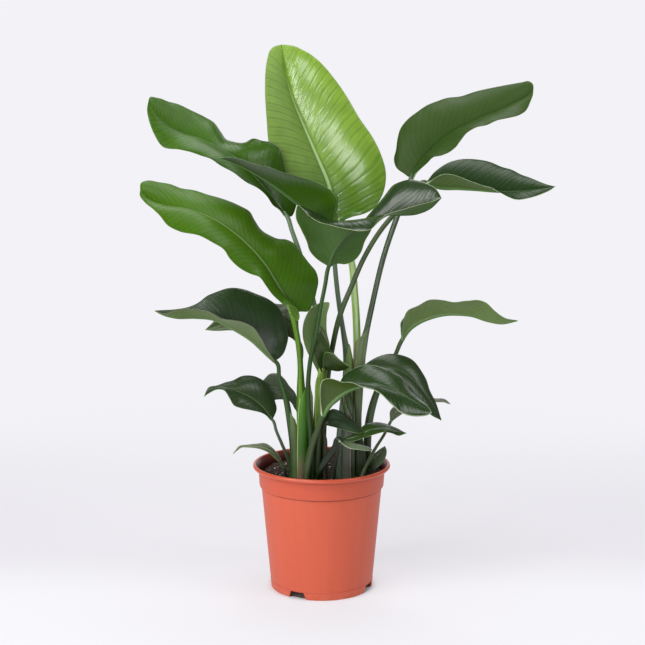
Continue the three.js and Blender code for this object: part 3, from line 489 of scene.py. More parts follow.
def soil_height(x, y):
    """A low heap in the middle, two crossed sets of waves, and crumbs of two sizes."""
    heap = 0.005 * np.exp(-(x / 0.06) ** 2 - (y / 0.05) ** 2)
    waves = (0.0016 * np.sin(x / 0.0073 + 1.2 * np.sin(y / 0.0091))
             + 0.0014 * np.sin(y / 0.0061 + 0.9 * np.cos(x / 0.0087)))
    coarse, fine = 0.0024 * (lumps(x, y, 0.0042, 1) - 0.5), 0.0012 * (lumps(x, y, 0.0018, 2) - 0.5)
    return SOIL_TOP - 0.003 + heap + waves + coarse + fine


radius = soil_edge * np.linspace(0.004, 1, SOIL_RINGS)[:, None]
angle = 2 * np.pi * np.arange(SOIL_SIDES) / SOIL_SIDES
x, y = radius * np.cos(angle), radius * np.sin(angle)
top = np.stack([x, y, soil_height(x, y)], -1)
side_levels = np.array([[soil_edge, COLLAR_FOOT - 0.004],
                        [FOOT_RADIUS - WALL - 0.004, soil_foot.z + 0.0002]])
soil_points = np.concatenate([top, revolved(side_levels, angle)]).reshape(-1, 3)
soil_finish = Finish("potting_soil", Roughness=0.95)
soil = surface_object("soil_bed", soil_points, ring_faces(SOIL_RINGS + 2, SOIL_SIDES), soil_finish)
close_ends(soil)
grit = soil_finish.noise(0.0016, 4)
clods = soil_finish.noise(0.007, 3)
soil_colour = soil_finish.mix(grit.rise(0.35, 0.7), srgb(27, 19, 15), srgb(68, 47, 38))
soil_finish.set(
    Base_Color=soil_finish.mix(clods.rise(0.5, 0.75) * 0.4, soil_colour, srgb(92, 67, 56)),
    Normal=soil_finish.bump(grit, 0.0008),
)
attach(soil, "root")
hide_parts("soil")

# Bark chips, crumbs of peat and a few white grains lie on the soil. Each is a rough lump of a few
# faces, sunk a little into it, with its colour carried as one number.
CRUMBS = 1500
LUMP_RINGS = 5
LUMP_SIDES = 6
lump_turn = np.linspace(0, np.pi, LUMP_RINGS)[:, None]
lump_angle = 2 * np.pi * np.arange(LUMP_SIDES)[None] / LUMP_SIDES
lump = np.stack([np.sin(lump_turn) * np.cos(lump_angle), np.sin(lump_turn) * np.sin(lump_angle),
                 np.cos(lump_turn) * np.ones_like(lump_angle)], -1)
lump[[0, -1]] *= (0, 0, 1)
lump_points = LUMP_RINGS * LUMP_SIDES

draw = np.random.default_rng(7)
place = soil_edge * 0.98 * np.sqrt(draw.random(CRUMBS))
turn = 2 * np.pi * draw.random(CRUMBS)
x, y = place * np.cos(turn), place * np.sin(turn)
size = 0.0008 + 0.0022 * draw.random((CRUMBS, 1)) ** 2.5
shape = size * (0.5 + draw.random((CRUMBS, 3)) * np.array([1.6, 0.6, 0.35]))
spin = 2 * np.pi * draw.random((CRUMBS, 1))
bodies = lump.reshape(1, -1, 3) * shape[:, None]
bodies *= 0.8 + 0.4 * draw.random((CRUMBS, lump_points, 1))
tilt = 0.5 * (draw.random((CRUMBS, 1)) - 0.5)
bodies[..., 2] += bodies[..., 0] * tilt
crumb_points = np.stack([
    bodies[..., 0] * np.cos(spin) - bodies[..., 1] * np.sin(spin) + x[:, None],
    bodies[..., 0] * np.sin(spin) + bodies[..., 1] * np.cos(spin) + y[:, None],
    bodies[..., 2] + (soil_height(x, y) + size[:, 0] * 0.3)[:, None],
], -1)
crumb_faces = ring_faces(LUMP_RINGS, LUMP_SIDES) + lump_points * np.arange(CRUMBS)[:, None, None]
crumb_finish = Finish("bark_and_grit", Roughness=0.9)
crumbs = surface_object("soil_crumbs", crumb_points.reshape(-1, 3), crumb_faces.reshape(-1, 4),
                        crumb_finish, smooth=False)
carry(crumbs, kind=np.repeat(draw.random(CRUMBS), lump_points))
BARK_COLOURS = {
    0.0: srgb(28, 20, 15), 0.5: srgb(58, 40, 31), 0.85: srgb(100, 72, 60), 0.95: srgb(150, 118, 103),
    0.985: srgb(196, 188, 178),
}
bark = crumb_finish.node("ValToRGB", {"stops": BARK_COLOURS}, crumb_finish.read("kind"))
crumb_finish.set(
    Base_Color=crumb_finish.mix(crumb_finish.noise(0.001, 3) * 0.6, bark, srgb(34, 24, 18)),
    Normal=crumb_finish.bump(crumb_finish.noise(0.0006, 2), 0.0002),
)
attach(crumbs, "root")


# Leaves and stalks
# Each leaf is a thin firm blade with a stout rib, on a stalk of its own that clasps its neighbours
# at the soil. Blades and stalks are closed shells along smooth curves through a few points.

# A leaf has its rib from stalk to tip and its two margins, left and right as they lie when the
# upper face is looked at with the tip up, without the ends that they share with the rib. A stalk
# runs from the soil to the leaf, with its half width in mm as a fourth number. A small leaf needs
# fewer points, and the crown leaf's lean, sweep, wave, taper and sink are explained at blade.
LEAVES = {
    "crown": {
        "lean": (0.3, 0.7), "sweep": (0.4, 0.8, 0.05, 1.25), "wave": 0.0003, "taper": 0.45, "sink": 0.12,
        "rib": [(339, 221.5, 34), (334.2, 206, 38), (328, 183, 42), (316.5, 156, 48), (304, 127, 56),
                (291, 95, 68), (284, 68, 85), (281.5, 44.6, 105)],
        "left": [(327, 216, 22), (308, 208, 14), (290, 193, 10), (277, 172, 8), (269.5, 148, 10),
                 (266.5, 118, 20), (265, 90, 38), (267.3, 59, 67), (269.9, 50.6, 80), (274.6, 46.4, 93)],
        "right": [(345.5, 219.5, 30), (353, 216.5, 27), (362, 214.5, 26), (373, 209, 24), (382, 196, 24),
                  (386, 176, 26), (380.5, 153, 28), (372, 136, 32), (360, 119, 38), (349, 100, 44),
                  (334, 78, 56), (318, 60, 70), (300.5, 48.6, 86), (290.5, 45.2, 98)],
        "stalk": [(352.5, 480, 8, 9.5), (352.5, 430, 9, 9), (355, 385, 8, 7.5), (357, 355, 10, 6.8),
                  (356.5, 325, 14, 6.6), (354.5, 293, 18, 6.4), (351.5, 262, 24, 6), (344.5, 238, 30, 5)],
    },
    "upper_left": {
        "rib": [(285.5, 214.5, -15), (279, 206, -15), (268, 192.5, -12), (250, 172, -10), (236, 158, -8),
                (216, 146, -8), (197, 137.5, -10), (184, 133.5, -14), (172, 128, -20), (160, 118, -26),
                (148, 102, -32)],
        "left": [(279.5, 210, -20), (274, 206, -26), (267, 196, -34), (258, 188.5, -40), (247, 183, -44),
                 (232, 172, -48), (220, 165, -50), (212, 160, -50), (200, 155, -50), (180, 150, -48),
                 (163, 147, -44), (154, 134, -40), (149, 121, -36), (147, 109, -34)],
        "right": [(290.5, 216.5, -12), (296, 207, -10), (297, 199, -8), (292, 187, -6), (286, 174, -6),
                  (283, 160, -6), (279.5, 148, -4), (271, 142, 2), (262, 140.5, 12), (253, 139, 22),
                  (245, 142, 28), (235, 142, 32), (226, 139.7, 34), (221, 132, 34), (214.5, 122.5, 32),
                  (205, 116.5, 28), (190, 109.5, 16), (171, 102, 0), (157, 98, -16), (150, 97, -26)],
        "stalk": [(320, 480, -15, 6), (321, 430, -12, 5), (322, 390, -8, 4.6), (320, 345, -6, 4.4),
                  (315, 308, -8, 4.2), (307, 277, -10, 4.2), (297.5, 246.5, -12, 4.2),
                  (291.3, 229, -14, 3.8)],
    },
    "left": {
        "rib": [(292, 315, -92), (288, 304, -95), (277, 285, -102), (264, 264, -110), (251, 248.5, -118),
                (235, 234, -126), (219, 222.5, -134), (201, 213.5, -140), (185, 208.5, -146),
                (166, 205, -152), (151, 200, -158), (140, 190, -164)],
        "left": [(297.5, 321, -100), (299.5, 314, -108), (296, 307.5, -114), (289, 305, -118),
                 (284, 305, -120), (279, 301, -122), (271.6, 294, -128), (265, 285, -134), (259, 277, -138),
                 (251, 274, -142), (238, 267, -150), (229.5, 258, -156), (224, 250, -158), (213, 243, -162),
                 (200, 236, -168), (178.5, 231, -174), (167, 225, -176), (161, 217, -176),
                 (153, 209.5, -174), (144, 201.5, -170), (139.6, 195, -167)],
        "right": [(300, 311, -84), (308, 311.5, -78), (312.5, 305, -70), (316, 292, -62), (318, 280, -56),
                  (316, 272, -52), (309, 263, -50), (301, 252, -50), (294.5, 243, -52), (287, 239.5, -56),
                  (277, 239, -62), (268, 234, -68), (259, 227, -74), (254, 220, -76), (249.5, 211.5, -76),
                  (241, 206, -80), (222, 198, -90), (206.5, 194, -100), (195, 191, -106),
                  (178.5, 187, -116), (160, 182, -132), (147.5, 180.3, -146), (140.5, 183.5, -158)],
        "stalk": [(303, 480, -66, 10.5), (303, 440, -63, 10.2), (302, 402, -63, 9.4), (301, 387, -64, 7.2),
                  (300.7, 372, -67, 5.4), (299, 348, -76, 5), (296, 330, -84, 4.8)],
    },
    "left_low": {
        "rib": [(274.5, 361, -70), (268, 355.5, -74), (262, 350, -78), (252, 341, -84), (239, 332.5, -90),
                (226, 325.5, -96), (213, 319.8, -102), (195, 318, -108), (175, 318, -115), (163, 315, -120),
                (154.5, 310.6, -124)],
        "left": [(270.5, 355, -88), (266.5, 347.5, -106), (260, 337, -124), (252, 327, -138),
                 (240, 322, -148), (222, 318.5, -154), (211, 313.5, -156), (203, 310.5, -156),
                 (188, 309, -152), (176, 310.6, -146), (164, 313.8, -134)],
        "right": [(279, 358, -60), (284, 353, -54), (287, 345, -51), (288, 337, -50), (286, 328, -50),
                  (283, 317, -50), (278, 307, -51), (269, 299.5, -54), (256, 293.5, -60), (244, 289, -66),
                  (233, 288, -72), (221, 290, -78), (209, 295, -85), (199, 302.5, -92), (190, 306.3, -99),
                  (175.5, 309, -110), (162, 310, -119)],
        "stalk": [(294, 480, -44, 8), (293.5, 446, -46, 7), (290.5, 425, -52, 6), (285.5, 397, -58, 5),
                  (279.4, 377, -64, 3.6)],
    },
    "left_back": {
        "small": True,
        "rib": [(298, 341, -10), (290, 326, -13), (280, 315, -16), (262, 308, -20), (240, 312, -26),
                (222, 321, -31), (205, 330, -36)],
        "left": [(288, 336.5, -28), (276, 335, -38), (256, 335, -42), (240, 331, -43), (228, 330.5, -42),
                 (215, 331, -39)],
        "right": [(299, 330, -2), (297, 315, 6), (289, 305.5, 12), (277, 304, 12), (262, 301, 8),
                  (246, 301, -2), (228, 309, -16), (214, 321, -30)],
        "stalk": [(300, 480, -8, 5), (300, 440, -2, 4.6), (301, 400, 2, 4.2), (300, 368, -3, 4)],
    },
    "upper_right": {
        "rib": [(411.5, 178, 29), (417, 168, 32), (424, 158.5, 36), (434, 148, 40), (449, 135, 46),
                (463, 126.5, 50), (478, 119, 52), (494, 112.5, 54), (512, 104, 54), (525, 97, 53),
                (533.5, 90, 52)],
        "left": [(404, 173.5, 36), (397, 168.5, 42), (393.7, 160, 50), (396, 149, 58), (397.5, 139, 65),
                 (400.5, 129, 72), (408, 119.5, 80), (417, 112.5, 86), (430, 103.5, 92), (443, 99.3, 94),
                 (460, 96, 94), (478, 91.3, 92), (495, 87.5, 86), (510, 84.3, 78), (521, 82, 70),
                 (529, 81.2, 63), (533, 84.5, 57)],
        "right": [(416, 173.5, 18), (421, 168.5, 10), (428, 163, 4), (433, 158, 0), (441, 156, -2),
                  (450, 152, -2), (456, 147, 0), (461, 140, 4), (466.5, 133, 6), (475, 128.5, 6),
                  (486, 125, 8), (497, 121, 12), (508, 118, 16), (520, 114.5, 24), (525.5, 111, 30),
                  (530.5, 102, 40), (533, 95, 47)],
        "stalk": [(360.5, 480, -18, 9.6), (356.8, 430, -17, 7.8), (357.9, 385, -15, 8.2),
                  (360.1, 360, -13, 9), (363, 345, -10, 7.6), (366, 333, -5, 5.6), (371, 310, 2, 5),
                  (385, 252, 14, 4.8), (397, 217, 20, 4.8), (406, 193, 25, 4.4)],
    },
    "right": {
        "rib": [(426.5, 183, -50), (437, 187, -52), (460, 188.5, -56), (480, 190, -60), (495, 191.5, -62),
                (510, 191.8, -64), (525, 190.8, -66), (540, 188.8, -67), (555.6, 186.5, -68)],
        "left": [(434, 172.5, -38), (442, 165.8, -30), (451, 161.5, -24), (463, 159.3, -20),
                 (478, 160, -20), (489, 162, -22), (506, 168, -30), (523.5, 175, -42), (537, 181, -54),
                 (546.5, 184.5, -62)],
        "right": [(430.5, 181, -64), (436, 177, -76), (444, 174.5, -86), (453.5, 175.5, -92),
                  (463, 178.5, -96), (472, 182, -98), (483, 185.5, -100), (492.5, 188, -100),
                  (500, 192.5, -100), (507, 197, -98), (514, 199, -95), (524, 199.5, -90),
                  (533, 197.3, -84), (543, 193.5, -78), (551, 189.8, -72)],
        "stalk": [(322, 480, -38, 6), (323, 440, -38, 5.4), (325, 405, -40, 5), (329, 368, -44, 4.6),
                  (332.5, 347, -52, 4.6), (341, 312, -66, 4.6), (350.8, 288, -68, 4.4),
                  (365, 256, -66, 4.2), (381, 230, -62, 4.2), (400, 208, -57, 4.2), (415, 193, -53, 4)],
    },
    "centre": {
        "rib": [(329, 266, -100), (333, 255, -104), (340, 243, -110), (350, 233, -118), (361, 224.5, -125),
                (373, 217.5, -132), (387, 214.5, -138), (403, 215, -144), (416, 214, -150),
                (430, 208.5, -156), (441.5, 197.5, -162)],
        "left": [(336, 264, -98), (346, 264.2, -95), (355, 260, -92), (361, 252.5, -90), (365, 241.5, -90),
                 (371, 231, -92), (375, 219, -94), (378, 210, -96), (383, 201, -98), (389, 190.5, -102),
                 (396, 183.3, -108), (407.5, 179.7, -116), (420, 181.5, -126), (430, 185, -138),
                 (437.5, 190.5, -150)],
        "right": [(318, 260, -108), (309.5, 251, -113), (306.5, 241, -118), (301, 229, -121),
                  (296, 218, -122), (297.5, 205.5, -124), (309, 216, -128), (318, 221.5, -134),
                  (331, 225, -144), (345, 229, -154), (361, 231, -164), (372, 228.3, -171),
                  (380, 219.5, -177), (390, 213.3, -181), (403, 209, -184), (420, 204, -181),
                  (434, 200.5, -173)],
        "stalk": [(312, 480, -74, 5), (311, 440, -76, 4.6), (308, 400, -82, 4.2), (308.5, 377, -91, 3.9),
                  (311, 356, -97, 3.7), (316, 334, -101, 3.5), (320.5, 308, -103, 3.4),
                  (325.3, 284, -102, 3.4)],
    },
    "inner": {
        "rib": [(333, 223, -70), (316, 215.5, -74), (297, 203, -78), (270, 183, -84), (243, 167, -90),
                (220, 157.5, -96)],
        "left": [(335.5, 207, -95), (337, 200, -112), (330, 190.3, -122), (320, 184.5, -128),
                 (310, 180.3, -132), (295, 175.7, -134), (284, 172.3, -134), (265, 166.5, -130),
                 (248, 162, -120), (233, 157.5, -108)],
        "right": [(338, 206, -50), (337, 196, -42), (328, 188.5, -38), (312, 182, -36), (296, 178.5, -38),
                  (276, 172.5, -46), (256, 165.5, -58), (238, 160, -76)],
        "stalk": [(342, 480, -12, 11), (343.5, 430, -12, 10), (346.5, 385, -14, 8), (347.5, 362, -15, 7.6),
                  (346.5, 350, -16, 6.6), (344, 335, -20, 5), (339, 303, -32, 4.4), (335, 266, -50, 4.2),
                  (333.5, 240, -62, 4)],
    },
    "young": {
        "small": True,
        "rib": [(321, 371, -52), (319, 350, -44), (318, 330, -40), (318.5, 314, -38), (319.5, 303, -36)],
        "left": [(312, 361, -60), (306.5, 350, -66), (302.5, 335, -66), (303.5, 322, -60),
                 (306.5, 314.5, -52), (312, 307, -44)],
        "right": [(326, 361, -60), (330, 348, -66), (327, 331, -68), (327, 315, -62), (329, 302.5, -50)],
        "stalk": [(312.5, 480, -48, 7.5), (314.5, 445, -49, 7.6), (317.4, 420, -51, 7.4),
                  (319.2, 398, -53, 8), (320.7, 381, -54, 8.4), (321, 375, -54, 6)],
    },
    "young_front": {
        "small": True,
        "rib": [(323, 371, -74), (323, 360, -78), (325.5, 352, -84), (331, 353, -90), (339, 360, -94),
                (350, 367, -97)],
        "left": [(317, 362, -82), (312.5, 346, -84), (314.5, 331, -84), (320, 325, -86), (326, 336, -92),
                 (330, 348, -98), (335, 356.5, -102), (342, 362, -102)],
        "right": [(327, 370, -68), (333, 371, -70), (341, 370.5, -80)],
        "stalk": [(317, 480, -66, 4.4), (318, 440, -68, 4.2), (320.5, 405, -72, 4)],
    },
    "low_right": {
        "rib": [(323, 416, -93), (329.5, 406, -95), (338, 398.5, -99), (348, 391.2, -102.5),
                (360, 386.5, -106), (372, 384, -110), (385, 386.5, -116), (398, 392, -122),
                (412, 400, -128), (424, 408, -134), (432, 413, -138)],
        "left": [(336.5, 397, -89), (339.5, 384, -82), (345, 374.5, -76), (354, 369, -73),
                 (365, 365.5, -71), (380, 367, -72), (392, 371, -76), (400, 376.5, -82), (406, 384, -88),
                 (412, 392, -96), (420, 400, -108), (428, 407, -126)],
        "right": [(320.6, 407, -99), (319.8, 397, -106), (320.3, 388, -114), (322.6, 380.8, -121),
                  (331, 378.8, -131), (341, 382, -140), (352, 382.7, -148), (362, 386.5, -154),
                  (375, 391, -158), (385, 398, -160), (393, 406, -160), (400, 412.5, -158),
                  (410, 416, -155), (420, 416.5, -149), (428, 415.2, -142)],
        "stalk": [(306, 481, -86, 6.4), (309, 460, -86, 6), (313, 442, -87, 5.4), (317.8, 429, -89, 4.8)],
    },
    "low_right_back": {
        "rib": [(352, 384, -34), (362, 374, -34), (376, 368, -34), (392, 368, -36), (407, 375, -40),
                (420, 388, -46), (432, 405, -52), (441.5, 420.5, -58)],
        "left": [(357, 372, -34), (366, 363.5, -31), (376, 357.5, -22), (388, 354.2, -13), (400, 355.2, -8),
                 (412, 360, -12), (420, 368, -18), (428, 385, -28), (435.5, 403, -42)],
        "right": [(364, 386, -46), (380, 387, -54), (396, 391, -60), (410, 398, -64), (422, 408, -66),
                  (432, 415.7, -64)],
        "stalk": [(350, 480, -48, 8.6), (350, 440, -46, 8), (351, 410, -42, 6)],
    },
    "far_right": {
        "rib": [(402, 340, 0), (405, 335, -3), (410, 329, -7), (420, 322.2, -13), (432, 317.5, -19),
                (445, 314.7, -25), (458, 314.5, -30), (472, 316, -35), (487, 321, -40), (502, 323.7, -44),
                (518, 320.6, -46)],
        "left": [(401, 330, 14), (400.5, 322, 22), (405, 316, 26), (413, 313, 24), (423, 308, 20),
                 (435, 304, 14), (448, 305, 6), (460, 306, -2), (472, 305, -10), (482, 307, -18),
                 (492, 313, -28), (504, 319.5, -38)],
        "right": [(402.5, 330, -12), (403.5, 321, -22), (408, 311, -32), (418, 306, -42), (429, 300, -50),
                  (443, 299.8, -56), (455, 302, -60), (468, 301, -62), (477, 299.5, -62), (485, 302.5, -60),
                  (494, 310, -56), (505, 317.5, -51)],
        "stalk": [(369, 480, 26, 7), (367, 450, 24, 7.4), (369, 420, 20, 7.6), (376, 394, 16, 6.4),
                  (386, 372, 12, 4.8), (395.5, 354, 6, 4)],
    },
    "low_edge": {
        "small": True,
        "rib": [(391, 421, -10), (396, 412, -12), (408, 404, -16), (422, 400.5, -20), (438, 400.3, -24),
                (450.5, 404, -28)],
        "left": [(390.5, 411, 0), (394, 406, 6), (406, 400, 8), (420, 398, 2), (436, 399, -12),
                 (446, 399.6, -22)],
        "right": [(399, 416, -24), (410, 410, -34), (424, 405, -38), (438, 402, -36), (446, 402.2, -32)],
        "stalk": [(361, 480, -44, 4), (368, 462, -38, 3.2), (375, 449, -28, 2.8), (385, 433, -16, 2.6)],
    },
    "low_mid": {
        "small": True,
        "rib": [(342, 440.5, -82), (352, 438, -86), (362, 434, -90), (374, 429, -95), (386, 428, -100),
                (397, 431, -104), (406.5, 433.3, -108)],
        "left": [(352, 434.5, -76), (360, 430, -70), (364, 425, -68), (373, 422.5, -70), (384, 423.5, -76),
                 (393, 427, -86), (400, 430, -96)],
        "right": [(352, 441.5, -96), (362, 438.8, -106), (374, 435, -114), (385, 432.3, -118),
                  (392, 433.3, -118), (399, 435.5, -114)],
        "stalk": [(333, 480, -74, 4.4), (335, 462, -76, 3.8), (338, 450, -79, 3.4)],
    },
    "low_dark": {
        "small": True,
        "rib": [(326.5, 424, -64), (332.5, 419.5, -68), (341, 419.5, -74), (349.5, 423.5, -80),
                (357.5, 428.5, -86), (364, 432.5, -92)],
        "left": [(326.8, 413.5, -56), (332.5, 409, -54), (340, 410.5, -56), (347, 415.5, -62),
                 (354, 421.5, -70), (360.5, 427.5, -82)],
        "right": [(333, 427, -74), (341, 429.3, -82), (350, 431.8, -90), (358, 433.6, -96)],
        "stalk": [(325, 480, -64, 4), (325, 460, -63, 3.6), (325.5, 442, -63, 3.2)],
    },
    "front_small": {
        "small": True,
        "rib": [(339.5, 440, -122), (348, 445, -126), (358, 447.5, -130), (366, 448.5, -132),
                (373, 450.5, -132)],
        "left": [(347, 441.5, -116), (358, 443.8, -113), (367, 446.3, -121)],
        "right": [(347, 447, -135), (358, 450, -139), (366, 451, -138)],
        "stalk": [(316, 482, -92, 3.2), (321, 469, -103, 5), (328.5, 456, -112, 6.4),
                  (335, 446.5, -119, 5)],
    },
    "pot_right": {
        "small": True,
        "rib": [(368.5, 470.5, 2), (373.5, 463, 2), (379.5, 455, 4), (385, 446, 6)],
        "left": [(367, 463, 2), (372.5, 455, 6), (379, 449.5, 8)],
        "right": [(376, 468, -12), (383, 462, -12), (386.5, 455, -6), (386.5, 449.5, 2)],
        "stalk": [(366, 480, 4, 3.4)],
    },
    "droop_left": {
        "small": True,
        "rib": [(284, 468, -50), (278, 458, -54), (270, 450, -58), (262, 446.8, -62), (252, 446.2, -66),
                (241, 447.3, -70), (233, 453.7, -74)],
        "left": [(276, 459, -64), (268, 452.3, -71), (260, 449.3, -76), (250, 448, -78), (240, 448.5, -77)],
        "right": [(279.5, 456, -43), (272, 447.8, -44), (265, 443.7, -48), (256, 444, -54), (246, 445, -61),
                  (239, 446, -68)],
        "stalk": [(288, 482, -32, 3.4), (285.2, 474, -38, 2.8)],
    },
    "low_left": {
        "small": True,
        "rib": [(272, 419.5, -60), (261, 406, -66), (249.5, 397, -72), (235, 390.5, -78), (223, 387, -82),
                (212, 389, -84), (204, 396.5, -84)],
        "left": [(262, 413, -76), (249.5, 410, -86), (240, 408, -93), (234, 405.6, -97), (229, 398, -100),
                 (224, 390.8, -98), (216, 389.5, -92), (210, 393, -88)],
        "right": [(277, 408, -48), (275, 400, -44), (270.5, 389, -42), (262, 380, -44), (253, 376, -48),
                  (242, 376, -54), (233, 380, -61), (225, 382, -68), (216, 386, -76), (208, 388, -82)],
        "stalk": [(292.5, 481, -22, 4), (288, 459, -38, 3), (281, 442, -50, 2.8), (276, 430, -56, 2.6)],
    },
    "low_left_back": {
        "small": True,
        "rib": [(296, 408, -16), (288, 395, -18), (276, 387, -22), (262, 388, -27), (250, 396, -32)],
        "left": [(289, 401, -22), (280, 399.5, -30), (268, 401, -36), (258, 401, -36)],
        "right": [(297.5, 401, -10), (295.5, 392.5, -6), (289, 385.5, -4), (284, 379, -4), (277, 373.7, -6),
                  (270, 374, -10), (264, 379.5, -16), (256, 387, -26)],
        "stalk": [(297, 480, -30, 3.4), (298.5, 450, -26, 3), (299, 425, -20, 2.8)],
    },
}

# The looks of blades and stalks. Colours are as a screen shows them, and lengths are in metres where
# no other unit is given. A pair is where a change starts and ends, in shares from stalk to tip on a
# blade, and as heights on a stalk.
LEAF_LOOK = {
    "base": (34, 68, 24), "tip": (40, 76, 28), "ripe": (0.1, 0.9),     # upper face, from base to tip; on some leaves the darker base is painted shade
    "under": (66, 96, 42), "back_dull": 0.16,                          # underside, and how much rougher
    "rough": 0.28, "shine": 0.4,                                       # roughness and reflection
    "dull": 0.0, "dull_from": (0.6, 0.75),                             # roughness added to the tip
    "left_dull": 0.0, "left_shade": 0.0,                               # and roughness and shade on the left
    "rib": (84, 120, 60), "rib_share": 0.6,                            # the rib, and how clear it is above
    "rib_start": (-0.2, -0.1), "rib_end": (0.6, 0.97),
    "rim": (120, 150, 96), "rim_width": 0.9, "rim_share": 0.7,         # the margin, with its width in mm
    "pitch": 0.0105, "crease": 0.45, "lines": 0.5,                     # side veins: spacing, width, depth
    "fine_count": 5.3, "fine_lines": 0.32, "fine": 0.000025,           # those between: number, tone, height
    "puff": 0.00008, "tilt": 0.0003,                                   # how strips between creases stand up
}
STALK_LOOK = {
    "low": (44, 72, 48), "high": (48, 84, 42), "ripe": (0.22, 0.6),    # from the soil up to the blade
    "pale": (96, 124, 88), "stripes": 0.35, "dark_sides": 0.35,        # paler streaks, partly painted highlight, and painted shade at the sides
    "sheath": (62, 82, 62), "sheath_top": 0.0,                         # colour below the height sheath_top
    "seam": (150, 150, 120), "margin": 0.0,                            # its margin, and how clear it is
    "foot": (112, 84, 70), "foot_share": 0.0,                          # colour near the soil
    "rough": 0.36, "shine": 0.4,
}

